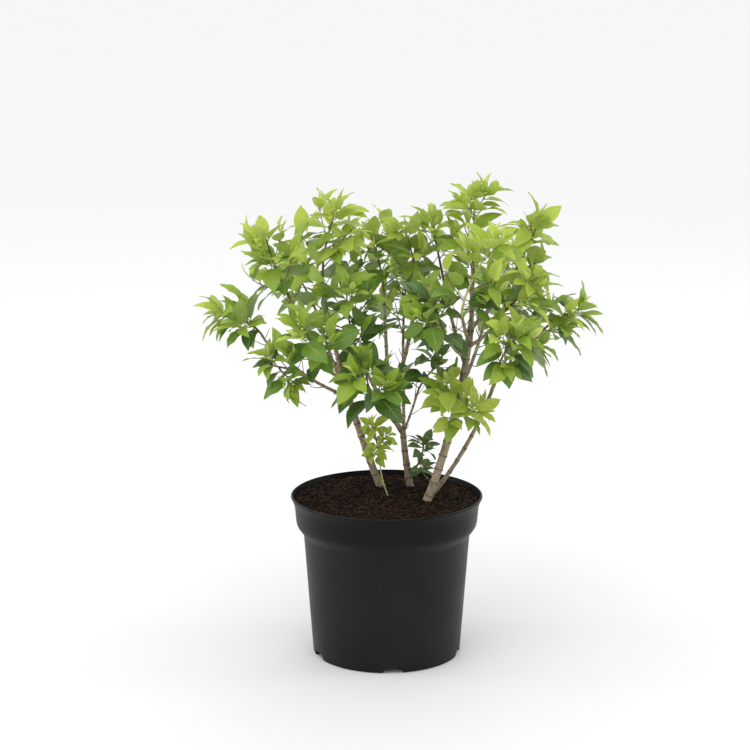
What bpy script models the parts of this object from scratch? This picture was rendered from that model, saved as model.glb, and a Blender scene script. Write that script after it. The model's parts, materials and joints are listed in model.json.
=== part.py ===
"""A young hydrangea shrub in a round nursery pot, in metres, +Z up.

The origin is the middle of the pot's underside. Five woody stems rise from the potting mix, side boughs
leave them, and each bough ends in a mass of foliage. A mass is one closed body: a main twig, the shoots
that leave it by a seeded rule, and their leaves in crossed pairs.
"""

import math
import random

import bmesh
import bpy
from mathutils import Matrix, Vector
from mathutils.bvhtree import BVHTree

MM = 0.001
GAP = 0.3 * MM  # left between pieces that rest on each other

# The pot: a five litre nursery container
POT_HEIGHT = 196 * MM
RIM_RADIUS = 115.5 * MM
BAND_TOP_RADIUS = 111 * MM
BAND_FOOT_RADIUS = 109 * MM
BODY_TOP_RADIUS = 100.3 * MM
FOOT_RADIUS = 89.3 * MM
BAND_TOP = 183 * MM
BAND_FOOT = 161.5 * MM
BODY_TOP = 149.5 * MM
POT_WALL = 2.0 * MM
POT_FLOOR = 2.5 * MM
FOOT_ROUNDING = 1.8 * MM
POT_STEPS = 32

# Drainage notches in the foot: each is a pocket under a small raised box in the floor
NOTCHES = 5
NOTCH_FIRST_AZIMUTH = -85.0
NOTCH_WIDTH = 27 * MM
NOTCH_TOP_WIDTH = 21 * MM
NOTCH_HEIGHT = 7.2 * MM
NOTCH_INNER_REACH = 64 * MM

# The potting mix: a shallow mound with a level middle for the stems
MIX_TOP = 194 * MM
MIX_EDGE = 190 * MM
MIX_LEVEL_RADIUS = 62 * MM

# Foliage
LEAF_LENGTH = 49 * MM  # stalk and blade of a full-grown leaf
LEAF_WIDTH_SHARE = 0.56
LEAF_THICKNESS_SHARE = 0.022
WIDEST_SHARE = 0.52
MAIN_TWIG_RADIUS = 1.8 * MM
MAIN_TWIG_TIP_RADIUS = 1.0 * MM
SHOOT_RADIUS_SHARE = 0.55  # of its main twig's radius where it leaves it
SHOOT_TIP_RADIUS = 0.6 * MM
GOLDEN_ANGLE = 137.5
CLEARANCE = 0.6 * MM  # kept between foliage and everything that isn't its own mass

# Stems: foot on the mix (right, back), azimuth, slope, length, bow, foot radius and tip radius.
# Azimuth is in degrees from the right, counterclockwise seen from above. Slope is above level.
# Sizes are in mm.
STEMS = {
    "stem_left": ((-8, 44), 190, 72.5, 170, 3, 4.8, 3.6),
    "stem_middle": ((29, 44), 175, 82.5, 70, 1, 4.6, 3.8),
    "stem_right": ((49, -18), 25, 75.0, 220, 8, 5.4, 4.0),
    "stem_thin": ((57, 11), 5, 62.5, 165, 8, 3.0, 2.3),
    "stem_low": ((1, 2), 190, 77.5, 45, 2, 1.5, 1.2),
}

# Boughs: parent limb, share of the way along it, azimuth, slope, length, bow, base radius and tip radius
BOUGHS = {
    "bough_left_leader": ("stem_left", 1.00, 225, 75.0, 95, 3, 3.0, 2.1),
    "bough_left_upper": ("stem_left", 0.90, 155, 50.0, 110, 5, 2.6, 1.9),
    "bough_left_low": ("stem_left", 0.70, 205, 32.5, 95, 4, 2.2, 1.8),
    "bough_left_far": ("bough_left_low", 1.00, 205, 47.5, 50, 3, 1.8, 1.4),
    "bough_left_drooping": ("bough_left_low", 0.80, 250, 15.0, 65, 0, 1.6, 1.2),
    "bough_left_front": ("stem_left", 0.84, 255, 22.5, 90, 3, 2.4, 1.7),
    "bough_left_back": ("stem_left", 0.62, 115, 42.5, 135, 5, 2.6, 1.9),
    "bough_middle": ("stem_middle", 1.00, 225, 52.5, 45, 1, 3.6, 3.2),
    "bough_centre_leader": ("bough_middle", 1.00, 30, 72.5, 130, 5, 3.0, 2.3),
    "bough_centre_shoot": ("bough_middle", 0.80, 100, 72.5, 145, 3, 2.7, 1.9),
    "bough_centre_left": ("bough_middle", 0.95, 220, 57.5, 90, 3, 2.7, 1.9),
    "bough_centre_front": ("bough_middle", 0.60, 255, 25.0, 95, 2, 2.3, 1.6),
    "bough_centre_right": ("stem_middle", 0.95, 305, 62.5, 65, 1, 1.7, 1.3),
    "bough_back": ("stem_middle", 0.80, 90, 47.5, 140, 6, 2.7, 1.9),
    "bough_right_leader": ("stem_right", 1.00, 85, 70.0, 70, 2, 3.1, 2.2),
    "bough_right_front": ("stem_right", 0.90, 260, 32.5, 75, 4, 2.6, 1.8),
    "bough_right_upper": ("stem_right", 0.96, 30, 45.0, 85, 4, 2.8, 1.9),
    "bough_right_inner": ("stem_right", 0.80, 240, 32.5, 55, 3, 2.2, 1.6),
    "bough_right_mid": ("stem_right", 0.86, 315, 40.0, 65, 4, 2.6, 1.8),
    "bough_centre_top": ("stem_right", 0.76, 115, 57.5, 105, 4, 2.7, 1.9),
    "bough_right_back": ("stem_right", 0.62, 75, 22.5, 145, 6, 2.6, 1.9),
    "bough_thin_far": ("stem_thin", 1.00, 335, 45.0, 75, 3, 2.1, 1.6),
    "bough_thin_out": ("stem_thin", 0.92, 60, 25.0, 55, 2, 1.8, 1.4),
    "bough_thin_front": ("stem_thin", 0.80, 275, 35.0, 105, 4, 1.8, 1.4),
}

# Masses: the limb that bears each one, the share along it, the azimuth, slope and length of its main twig,
# the reach of its shoots, and their number
MASSES = {
    "foliage_top_left": ("bough_left_leader", 1.00, 310, 75.0, 95, 50, 6),
    "foliage_left_upper": ("bough_left_upper", 1.00, 210, 67.5, 80, 48, 6),
    "foliage_left_far": ("bough_left_far", 1.00, 180, 25.0, 50, 32, 5),
    "foliage_left_drooping": ("bough_left_drooping", 1.00, 330, -40.0, 25, 16, 2),
    "foliage_left_front": ("bough_left_front", 1.00, 245, 45.0, 70, 48, 5),
    "foliage_left_back": ("bough_left_back", 1.00, 130, 47.5, 80, 52, 6),
    "foliage_centre_top": ("bough_centre_leader", 1.00, 235, 77.5, 85, 46, 6),
    "foliage_centre_back": ("bough_centre_shoot", 1.00, 150, 75.0, 70, 48, 6),
    "foliage_centre_left": ("bough_centre_left", 1.00, 245, 70.0, 80, 46, 6),
    "foliage_centre_front": ("bough_centre_front", 1.00, 255, 45.0, 60, 44, 5),
    "foliage_centre_right": ("bough_centre_right", 1.00, 320, 50.0, 45, 34, 3),
    "foliage_back": ("bough_back", 1.00, 85, 55.0, 85, 52, 6),
    "foliage_right_top": ("bough_right_leader", 1.00, 275, 85.0, 80, 44, 6),
    "foliage_right_front": ("bough_right_front", 1.00, 355, 67.5, 95, 46, 5),
    "foliage_right_upper": ("bough_right_upper", 1.00, 345, 65.0, 70, 22, 3),
    "foliage_right_inner": ("bough_right_inner", 1.00, 215, 65.0, 55, 44, 5),
    "foliage_right_mid": ("bough_right_mid", 1.00, 330, 42.5, 55, 40, 5),
    "foliage_centre_upper": ("bough_centre_top", 1.00, 195, 77.5, 75, 42, 5),
    "foliage_right_back": ("bough_right_back", 1.00, 55, 50.0, 95, 50, 6),
    "foliage_far_right": ("bough_thin_far", 1.00, 355, 32.5, 55, 26, 4),
    "foliage_right_out": ("bough_thin_out", 1.00, 40, 42.5, 50, 32, 4),
    "foliage_right_low": ("bough_thin_front", 1.00, 300, 50.0, 50, 34, 5),
    "foliage_low_shoot": ("stem_low", 1.00, 225, 72.5, 50, 18, 4),
    "foliage_middle_side": ("stem_middle", 0.30, 310, 52.5, 50, 16, 2),
    "foliage_right_side_left": ("stem_right", 0.58, 240, 12.5, 40, 26, 2),
    "foliage_right_side_front": ("stem_right", 0.48, 295, 22.5, 50, 26, 3),
}

# How a leaf is folded and curled, as shares of its length, and how it sits on its twig
MARGIN_LIFT = 0.06
TIP_DROP = 0.06
ROOT_DEPTH_SHARE = 0.8  # of its twig's radius, so that the root edge stays inside the twig
LIGHT_PULL = 0.8
TWIG_PULL = 0.4  # how far a leaf's face turns along its twig
CROWN_AXIS = Vector((20 * MM, 20 * MM, 0))
STEEPEST_LEAF = -0.5  # sine of the steepest way that a leaf hangs
CLEAR_FROM = 0.3  # share of a leaf from which it keeps clear of its own mass
MOST_LEAVES = 455

# Where leaves stand: pairs along a twig, and the young tuft at its tip
MAIN_PAIRS = (0.34, 0.6, 0.84)
SHOOT_PAIRS = (0.42, 0.74)
PAIR_LEAN = (52, 66)
PAIR_DROOP = (0.2, 0.9)
PAIR_SIZE = (0.82, 1.1)
PAIR_TURN_CHANCE = 16
TUFT_SHARE = 0.96
TUFT_LEAN = (24, 36)
TUFT_SIZE = (0.62, 0.8)
TUFT_TURN_CHANCE = 12
MAIN_TUFT_LEAVES = 3
SHOOT_TUFT_LEAVES = 2
TURN_PER_TWIG = 77

# How shoots leave their main twig
FIRST_SHOOT = 0.12
SHOOTS_SPREAD = 0.68
SHOOT_LEAN = 64
SHOOT_LEAN_DROP = 22
SHOOT_TAPER = 0.6  # how much shorter a shoot is at the main twig's tip
SHOOT_RISE = 0.2
LOWEST_SHOOT_RISE = -0.05
SWINGS = (0, 35, -35, 70, -70)

# The space that a mass may fill
SPACE_SHARE = 0.5  # of the shoots' reach: how far from its main twig the middle of a leaf may be
SPACE_TAPER = 0.45  # how much narrower a mass is at its main twig's tip
SPACE_FOR_LEAF = 0.55  # of a leaf's length, added to it

STEM_SIDES = 8
BOUGH_SIDES = 6
TWIG_SIDES = 3
STEM_LENGTHS = 4  # straight lengths that make up a bend
BOUGH_LENGTHS = 3
MAIN_TWIG_LENGTHS = 3
SHOOT_LENGTHS = 1
SEED = 11

UP = Vector((0, 0, 1))


def heading(azimuth, slope):
    """The unit vector that points this way, with both angles in degrees."""
    a, s = math.radians(azimuth), math.radians(slope)
    return Vector((math.cos(s) * math.cos(a), math.cos(s) * math.sin(a), math.sin(s)))


def across(axis, turn):
    """The unit vector square to an axis, turned about it by degrees from the most upright one."""
    first = UP - axis * axis.dot(UP)
    if first.length < 0.05:
        first = Vector((1, 0, 0)) - axis * axis.x
    return (Matrix.Rotation(math.radians(turn), 3, axis) @ first).normalized()


class Curve:
    """A bend in one plane, from a start to an end with one control point."""

    def __init__(self, start, control, end):
        self.start, self.control, self.end = start, control, end

    @classmethod
    def bowed(cls, start, end, bow):
        """The bend of a limb that leaves its parent low and turns up to the light."""
        chord = (end - start).normalized()
        below = chord * chord.z - UP
        if below.length > 1e-6:
            below.normalize()
        return cls(start, (start + end) / 2 + below * 2 * bow, end)

    def at(self, share):
        rest = 1 - share
        return self.start * rest * rest + self.control * 2 * share * rest + self.end * share * share

    def along(self, share):
        """The direction of growth at a share of the way."""
        return ((self.control - self.start) * (1 - share) + (self.end - self.control) * share).normalized()

    def square(self):
        """The unit vector that stays square to the whole bend."""
        normal = (self.control - self.start).cross(self.end - self.control)
        return normal.normalized() if normal.length > 1e-9 else self.along(0).orthogonal().normalized()


class Limb:
    """A stem, bough or twig: its bend, its taper, and its number of straight lengths and of sides."""

    def __init__(self, curve, foot_radius, tip_radius, lengths, sides, level_foot=False, roll=0.0):
        self.curve, self.level_foot, self.roll = curve, level_foot, roll
        self.foot_radius, self.tip_radius = foot_radius, tip_radius
        self.lengths, self.sides = lengths, sides

    def radius(self, share):
        return self.foot_radius + (self.tip_radius - self.foot_radius) * share

    def at(self, share):
        """The point of the axis as it is built, on the straight length that this share falls in."""
        number = min(int(share * self.lengths), self.lengths - 1)
        return self.curve.at(number / self.lengths).lerp(
            self.curve.at((number + 1) / self.lengths), share * self.lengths - number
        )


def bar(limb, grow=0.0):
    """A cylinder, cut into rings and laid along a limb or twig, larger all round by grow."""
    bm = bmesh.new()
    bmesh.ops.create_cone(
        bm,
        cap_ends=True,
        segments=limb.sides,
        radius1=1,
        radius2=1,
        depth=1,
        matrix=Matrix.Translation((0, 0, 0.5)),
    )
    if limb.lengths > 1:
        lengthwise = [e for e in bm.edges if abs(e.verts[0].co.z - e.verts[1].co.z) > 0.5]
        bmesh.ops.subdivide_edges(bm, edges=lengthwise, cuts=limb.lengths - 1)
    bmesh.ops.rotate(bm, verts=bm.verts, matrix=Matrix.Rotation(limb.roll, 3, "Z"))
    side = limb.curve.square()
    for vertex in bm.verts:
        x, y, share = vertex.co
        axis = UP if limb.level_foot and share < 0.01 else limb.curve.along(share)
        over = grow * (share > 0.99) - grow * (share < 0.01)
        radius = limb.radius(share) + grow
        vertex.co = limb.curve.at(share) + axis * over + (side * x + axis.cross(side) * y) * radius
    bmesh.ops.recalc_face_normals(bm, faces=bm.faces)
    return bm


class Leaf:
    """One leaf: its base on the twig's axis, where it points and faces, its length and root depth."""

    def __init__(self, base, way, face, length, root_depth):
        self.base, self.way, self.face = base, way, face
        self.length, self.root_depth = length, root_depth

    def solid(self, from_share=0.0, grow=0.0):
        """Eight faces, from an eight-sided ball: an upright root edge, two margins, a rib and a tip."""
        bm = bmesh.new()
        bmesh.ops.create_uvsphere(bm, u_segments=4, v_segments=2, radius=1)
        side = self.face.cross(self.way)
        margin = (self.length * LEAF_WIDTH_SHARE / 2 + grow, self.length * MARGIN_LIFT)
        rib_lift = self.length * (LEAF_THICKNESS_SHARE - TIP_DROP * WIDEST_SHARE) + grow
        places = {
            (-1, 0, 0): (from_share, -grow, 0, self.root_depth / 2 + grow),
            (0, 0, -1): (from_share, -grow, 0, -self.root_depth / 2 - grow),
            (0, 0, 1): (WIDEST_SHARE, 0, 0, rib_lift),
            (0, 1, 0): (WIDEST_SHARE, 0, margin[0], margin[1]),
            (0, -1, 0): (WIDEST_SHARE, 0, -margin[0], margin[1]),
            (1, 0, 0): (1, grow, 0, -self.length * TIP_DROP),
        }
        for vertex in bm.verts:
            share, more, sideways, lift = places[tuple(round(c) for c in vertex.co)]
            forward = self.length * share + more
            vertex.co = self.base + self.way * forward + side * sideways + self.face * lift
        return bm

    def lowest(self):
        """The height of its lowest corner."""
        bm = self.solid()
        height = min(vertex.co.z for vertex in bm.verts)
        bm.free()
        return height


def leaf_on(twig, share, turn, lean, droop, length):
    """A leaf that leaves a twig at an angle, sinks by droop, and turns its face up and outwards."""
    axis, base = twig.curve.along(share), twig.at(share)
    out = across(axis, turn)
    way = axis * math.cos(math.radians(lean)) + out * math.sin(math.radians(lean))
    way -= UP * droop
    way.z = max(way.z, STEEPEST_LEAF)
    way.normalize()
    outward = base - CROWN_AXIS
    outward.z = 0
    light = UP * LIGHT_PULL + axis * TWIG_PULL + outward.normalized()
    face = (light - way * light.dot(way)).normalized()
    return Leaf(base, way, face, length, twig.radius(share) * ROOT_DEPTH_SHARE)


class Mass:
    """The foliage that one limb carries: a main twig, its shoots, and the leaves on them."""

    def __init__(self, name, limb, share, azimuth, slope, length, reach, shoots, seed):
        self.name, self.reach, self.shoots = name, reach * MM, shoots
        self.chance = random.Random(seed)
        foot, grown = limb.curve.at(share), limb.curve.along(share)
        end = foot + heading(azimuth, slope) * length * MM
        if share == 1:
            start = foot + grown * GAP
        else:
            sideways = end - foot
            grown = (sideways - grown * sideways.dot(grown)).normalized()
            start = foot + grown * (limb.radius(share) + GAP)
        radius = min(MAIN_TWIG_RADIUS, limb.tip_radius)
        control = start + grown * (end - start).length * 0.4
        curve = Curve(start, control, end)
        self.main = Limb(curve, radius, MAIN_TWIG_TIP_RADIUS, MAIN_TWIG_LENGTHS, TWIG_SIDES)
        self.twigs = [self.main]
        self.leaves = []
        self.first_turn = self.chance.uniform(0, 360)

    def distance(self, point):
        """How far a point is from the main twig, as a share of the space that the mass may fill."""
        start, end = self.main.curve.start, self.main.curve.end
        chord = end - start
        share = max(0.0, min(1.0, (point - start).dot(chord) / chord.length_squared))
        space = self.reach * SPACE_SHARE * (1 - SPACE_TAPER * share) + LEAF_LENGTH * SPACE_FOR_LEAF
        return (point - start - chord * share).length / space

    def shoot(self, number, swing):
        """One side shoot, which leaves the main twig a golden angle on from the last and turns upwards."""
        share = FIRST_SHOOT + SHOOTS_SPREAD * number / max(1, self.shoots - 1)
        axis = self.main.curve.along(share)
        lean = math.radians(SHOOT_LEAN - SHOOT_LEAN_DROP * share)
        out = across(axis, self.first_turn + GOLDEN_ANGLE * number + swing)
        way = axis * math.cos(lean) + out * math.sin(lean)
        way.z = max(way.z, LOWEST_SHOOT_RISE)
        way.normalize()
        length = self.reach * (1.02 - SHOOT_TAPER * share) * self.chance.uniform(0.85, 1.08)
        start = self.main.at(share)
        curve = Curve(start, start + way * length * 0.55, start + (way + UP * SHOOT_RISE) * length)
        radius = self.main.radius(share) * SHOOT_RADIUS_SHARE
        return Limb(curve, radius, SHOOT_TIP_RADIUS, SHOOT_LENGTHS, TWIG_SIDES, roll=0.3 + 0.5 * number)

    def pairs(self, twig, shares, turn):
        """Crossed pairs of leaves along a twig. Each pair is a quarter turn on from the last."""
        for number, share in enumerate(shares):
            for half_turn in (0, 180):
                yield leaf_on(
                    twig,
                    share,
                    turn + 90 * number + half_turn + self.chance.uniform(-1, 1) * PAIR_TURN_CHANCE,
                    self.chance.uniform(*PAIR_LEAN),
                    self.chance.uniform(*PAIR_DROOP),
                    LEAF_LENGTH * self.chance.uniform(*PAIR_SIZE) * (1.04 - 0.16 * share),
                )

    def tuft(self, twig, count, turn):
        """The young leaves that stand up together at a twig's tip."""
        for number in range(count):
            yield leaf_on(
                twig,
                TUFT_SHARE,
                turn + 360 * number / count + self.chance.uniform(-1, 1) * TUFT_TURN_CHANCE,
                self.chance.uniform(*TUFT_LEAN),
                0.0,
                LEAF_LENGTH * self.chance.uniform(*TUFT_SIZE),
            )


class Room:
    """The solids placed so far. It says whether another one would touch what belongs to somebody else."""

    def __init__(self):
        self.placed = []

    @staticmethod
    def bounds(bm):
        points = [v.co for v in bm.verts]
        centre = sum(points, Vector()) / len(points)
        return centre, max((p - centre).length for p in points)

    def add(self, owner, bm):
        centre, radius = self.bounds(bm)
        self.placed.append((owner, centre, radius, BVHTree.FromBMesh(bm)))
        bm.free()

    def clear(self, bm, of=None, but=None):
        """Whether a solid touches nothing: nothing of one owner, or nothing but one owner's."""
        centre, radius = self.bounds(bm)
        tree = BVHTree.FromBMesh(bm)
        bm.free()
        for owner, other_centre, other_radius, other in self.placed:
            if (of is not None and owner != of) or owner == but:
                continue
            if (centre - other_centre).length < radius + other_radius and tree.overlap(other):
                return False
        return True


def grow_limbs():
    """Every stem and bough, each from its parent's side or tip."""
    limbs = {}
    for name, ((right, back), azimuth, slope, length, bow, foot, tip) in STEMS.items():
        start = Vector((right * MM, back * MM, MIX_TOP + GAP))
        curve = Curve.bowed(start, start + heading(azimuth, slope) * length * MM, bow * MM)
        limbs[name] = Limb(curve, foot * MM, tip * MM, STEM_LENGTHS, STEM_SIDES, level_foot=True)
    for name, (parent, share, azimuth, slope, length, bow, foot, tip) in BOUGHS.items():
        start = limbs[parent].at(share)
        end = start + heading(azimuth, slope) * length * MM
        if share == 1:
            start = start - limbs[parent].curve.along(1) * foot * MM
        curve = Curve.bowed(start, end, bow * MM)
        limbs[name] = Limb(curve, foot * MM, tip * MM, BOUGH_LENGTHS, BOUGH_SIDES)
    return limbs


def wanted_leaves(masses):
    """Every leaf that the rule asks for, in the order of its need: tufts, then pairs from the tips in."""
    wanted = []
    for mass in masses:
        for number, twig in enumerate(mass.twigs):
            turn = mass.first_turn + TURN_PER_TWIG * number
            tuft_leaves = SHOOT_TUFT_LEAVES if number else MAIN_TUFT_LEAVES
            shares = SHOOT_PAIRS if number else MAIN_PAIRS
            for rank, leaf in enumerate(mass.tuft(twig, tuft_leaves, turn)):
                wanted.append((0, number, rank, mass, leaf))
            for rank, leaf in enumerate(mass.pairs(twig, shares, turn)):
                wanted.append((len(shares) - rank // 2, number, rank, mass, leaf))
    return sorted(wanted, key=lambda item: item[:3])


def grow_foliage(limbs, room):
    """Every mass: all main twigs, then all shoots, then the leaves, so that none crowds out another."""
    masses = []
    for number, (name, (limb, *sizes)) in enumerate(MASSES.items()):
        masses.append(Mass(name, limbs[limb], *sizes, seed=SEED + number))
    for mass in masses:
        room.add(mass.name, bar(mass.main))
    for mass in masses:
        for number in range(mass.shoots):
            for swing in SWINGS:
                twig = mass.shoot(number, swing)
                if room.clear(bar(twig, CLEARANCE), but=mass.name):
                    mass.twigs.append(twig)
                    room.add(mass.name, bar(twig))
                    break
    for _, _, _, mass, leaf in wanted_leaves(masses):
        if sum(len(m.leaves) for m in masses) == MOST_LEAVES:
            break
        middle = leaf.base + leaf.way * leaf.length / 2
        own = mass.distance(middle)
        if own > 1 or any(other.distance(middle) < own for other in masses if other is not mass):
            continue
        if not room.clear(leaf.solid(grow=CLEARANCE), but=mass.name):
            continue
        if not room.clear(leaf.solid(from_share=CLEAR_FROM), of=mass.name):
            continue
        if leaf.lowest() < MIX_TOP + CLEARANCE:
            continue
        mass.leaves.append(leaf)
        room.add(mass.name, leaf.solid())
    return masses


def new_object(name, bm, collection, material=None):
    """A named object from a bmesh, linked where it belongs."""
    mesh = bpy.data.meshes.new(name)
    bm.to_mesh(mesh)
    bm.free()
    if material:
        mesh.materials.append(material)
    obj = bpy.data.objects.new(name, mesh)
    collection.objects.link(obj)
    return obj


def combine(obj, tools, operation, solver="EXACT"):
    """Joins the tools to an object, or cuts them from it, in one applied Boolean, and removes them."""
    group = bpy.data.collections.new(obj.name + "_tools")
    bpy.context.scene.collection.children.link(group)
    for tool in tools:
        for owner in list(tool.users_collection):
            owner.objects.unlink(tool)
        group.objects.link(tool)
    boolean = obj.modifiers.new(operation.lower(), "BOOLEAN")
    boolean.operation, boolean.solver = operation, solver
    boolean.operand_type, boolean.collection = "COLLECTION", group
    bpy.context.view_layer.update()
    graph = bpy.context.evaluated_depsgraph_get()
    mesh = bpy.data.meshes.new_from_object(obj.evaluated_get(graph))
    obj.modifiers.clear()
    old, obj.data = obj.data, mesh
    bpy.data.meshes.remove(old)
    for tool in tools:
        data = tool.data
        bpy.data.objects.remove(tool)
        bpy.data.meshes.remove(data)
    bpy.data.collections.remove(group)
    mesh.name = obj.name
    keep_largest(mesh)


def keep_largest(mesh):
    """Drops loose scraps, so that what stays is one body. Faces that share an edge belong together."""
    bm = bmesh.new()
    bm.from_mesh(mesh)
    left, bodies = set(bm.faces), []
    while left:
        body, edge = [], [left.pop()]
        while edge:
            face = edge.pop()
            body.append(face)
            near = {other for side in face.edges for other in side.link_faces} & left
            left -= near
            edge.extend(near)
        bodies.append(body)
    bodies.sort(key=len)
    loose = [face for body in bodies[:-1] for face in body]
    if loose:
        print(mesh.name, "dropped", len(bodies) - 1, "scraps of", len(loose), "faces")
    bmesh.ops.delete(bm, geom=loose, context="FACES")
    bm.to_mesh(mesh)
    bm.free()


def material(name, colour, roughness):
    made = bpy.data.materials.new(name)
    made.use_nodes = True
    shader = made.node_tree.nodes["Principled BSDF"]
    shader.inputs["Base Color"].default_value = (*colour, 1)
    shader.inputs["Roughness"].default_value = roughness
    shader.inputs["Metallic"].default_value = 0
    return made


def turned(name, profile, collection, finish):
    """A solid of revolution about the vertical axis, from a profile that runs down its outer side."""
    bm = bmesh.new()
    corners = [bm.verts.new((radius, 0, height)) for radius, height in profile]
    for first, second in zip(corners, corners[1:]):
        bm.edges.new((first, second))
    obj = new_object(name, bm, collection, finish)
    screw = obj.modifiers.new("turn", "SCREW")
    screw.steps = screw.render_steps = POT_STEPS
    screw.use_merge_vertices = True
    screw.merge_threshold = 1e-5
    graph = bpy.context.evaluated_depsgraph_get()
    mesh = bpy.data.meshes.new_from_object(obj.evaluated_get(graph))
    obj.modifiers.clear()
    obj.data = mesh
    return obj


def wall_radius(height):
    """The pot's outer radius at a height on its plain body."""
    return FOOT_RADIUS + (BODY_TOP_RADIUS - FOOT_RADIUS) * height / BODY_TOP


def wedge(name, inner, outer, foot_width, top_width, low, high, azimuth, collection):
    """A block with sloping sides that points outwards from the pot's axis."""
    bm = bmesh.new()
    bmesh.ops.create_cube(bm, size=2)
    for vertex in bm.verts:
        x, y, z = vertex.co
        width = foot_width if z < 0 else top_width
        vertex.co = ((inner if x < 0 else outer), y * width / 2, (low if z < 0 else high))
    bmesh.ops.rotate(bm, verts=bm.verts, matrix=Matrix.Rotation(math.radians(azimuth), 3, "Z"))
    return new_object(name, bm, collection)


def notch_wedges(name, wall, outer, low, collection):
    """One wedge for each notch: the pocket itself, or with a wall all round it."""
    return [
        wedge(
            f"{name}_{number}",
            NOTCH_INNER_REACH - wall,
            outer,
            NOTCH_WIDTH + 2 * wall,
            NOTCH_TOP_WIDTH + 2 * wall,
            low,
            NOTCH_HEIGHT + wall,
            NOTCH_FIRST_AZIMUTH + 360 * number / NOTCHES,
            collection,
        )
        for number in range(NOTCHES)
    ]


def build_pot(collection, finish):
    """The thin shell with its flared rim and band, and the drainage pockets in its foot."""
    lip = RIM_RADIUS
    outer = [
        (lip - 2.2 * MM, POT_HEIGHT),
        (lip - 0.3 * MM, POT_HEIGHT - 0.4 * MM),
        (lip - 3.4 * MM, POT_HEIGHT - 7 * MM),
        (BAND_TOP_RADIUS, BAND_TOP),
        (BAND_FOOT_RADIUS, BAND_FOOT),
        (BODY_TOP_RADIUS, BODY_TOP),
        (wall_radius(FOOT_ROUNDING), FOOT_ROUNDING),
        (FOOT_RADIUS - FOOT_ROUNDING, 0),
        (0, 0),
    ]
    inner = [
        (0, POT_FLOOR),
        (wall_radius(POT_FLOOR) - POT_WALL, POT_FLOOR),
        (BODY_TOP_RADIUS - POT_WALL, BODY_TOP + 0.8 * MM),
        (BAND_FOOT_RADIUS - POT_WALL, BAND_FOOT + 0.8 * MM),
        (lip - 2.6 * MM - POT_WALL, POT_HEIGHT - 4 * MM),
    ]
    pot = turned("pot", inner + outer, collection, finish)
    housings = notch_wedges("housing", POT_WALL, FOOT_RADIUS - 1.2 * MM, POT_FLOOR / 2, collection)
    combine(pot, housings, "UNION")
    pockets = notch_wedges("pocket", 0, RIM_RADIUS, -MM, collection)
    combine(pot, pockets, "DIFFERENCE")
    return pot


def build_mix(collection, finish):
    """The potting mix: it fills the pot, clear of its wall and of the raised boxes over the notches."""
    shy = POT_WALL + GAP
    mix = turned(
        "potting_mix",
        [
            (0, MIX_TOP),
            (MIX_LEVEL_RADIUS, MIX_TOP),
            (BAND_TOP_RADIUS - shy - 6 * MM, MIX_EDGE + 1.5 * MM),
            (BAND_TOP_RADIUS - shy, MIX_EDGE),
            (BAND_FOOT_RADIUS - shy, BAND_FOOT + 0.8 * MM),
            (BODY_TOP_RADIUS - shy, BODY_TOP + 0.8 * MM),
            (wall_radius(POT_FLOOR) - shy, POT_FLOOR + GAP),
            (0, POT_FLOOR + GAP),
        ],
        collection,
        finish,
    )
    rooms = notch_wedges("room", shy, RIM_RADIUS, POT_FLOOR / 2, collection)
    combine(mix, rooms, "DIFFERENCE")
    return mix


def build_limbs(limbs, collection, bark):
    """Stems and boughs. Each bough is cut clear of every limb that was there before it."""
    built = []
    for name, limb in limbs.items():
        tree = BVHTree.FromBMesh(bar(limb, GAP))
        meets = [other for other in built if tree.overlap(BVHTree.FromBMesh(bar(limbs[other], GAP)))]
        obj = new_object(name, bar(limb), collection, bark)
        if meets:
            cutters = [new_object(f"{name}_by_{o}", bar(limbs[o], GAP), collection) for o in meets]
            combine(obj, cutters, "DIFFERENCE")
        built.append(name)


def closed(mesh):
    """Whether every edge has a face on both sides."""
    bm = bmesh.new()
    bm.from_mesh(mesh)
    whole = all(edge.is_manifold for edge in bm.edges)
    bm.free()
    return whole


def build_mass(mass, collection, leafy, solver="EXACT"):
    """One closed body: the main twig with its shoots and leaves joined to it."""
    body = new_object(mass.name, bar(mass.main), collection, leafy)
    solids = [bar(twig) for twig in mass.twigs[1:]] + [leaf.solid() for leaf in mass.leaves]
    pieces = [new_object(f"{mass.name}_{n}", bm, collection) for n, bm in enumerate(solids)]
    combine(body, pieces, "UNION", solver)
    if solver == "EXACT" and not closed(body.data):
        bpy.data.objects.remove(body)
        return build_mass(mass, collection, leafy, "MANIFOLD")
    print(mass.name, solver.lower(), "twigs", len(mass.twigs), "leaves", len(mass.leaves))
    return body


def main():
    for obj in list(bpy.data.objects):
        bpy.data.objects.remove(obj)
    collection = bpy.data.collections.new("potted_hydrangea")
    bpy.context.scene.collection.children.link(collection)
    plastic = material("black_plastic", (0.022, 0.022, 0.023), 0.45)
    peat = material("potting_mix", (0.022, 0.012, 0.008), 0.95)
    bark = material("grey_bark", (0.23, 0.175, 0.125), 0.8)
    green = material("leaf_green", (0.16, 0.30, 0.05), 0.5)
    limbs = grow_limbs()
    room = Room()
    for name, limb in limbs.items():
        room.add(name, bar(limb, GAP * 0.9))
    masses = grow_foliage(limbs, room)
    pot = build_pot(collection, plastic)
    build_mix(collection, peat)
    build_limbs(limbs, collection, bark)
    for mass in masses:
        build_mass(mass, collection, green)
    print("leaves", sum(len(m.leaves) for m in masses), "twigs", sum(len(m.twigs) for m in masses))
    triangles = {o.name: sum(len(p.vertices) - 2 for p in o.data.polygons) for o in collection.objects}
    print("triangles", sum(triangles.values()), triangles)


main()
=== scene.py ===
# %% [markdown]
# # A young hydrangea in its nursery pot
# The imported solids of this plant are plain: faceted stems, and masses of foliage with few, large leaves.
# This notebook dresses them. Every limb gets bark, every mass grows again by the same rule with finer
# twigs and leaves of their true size, and the pot and the potting mix are modelled smooth.

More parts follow.
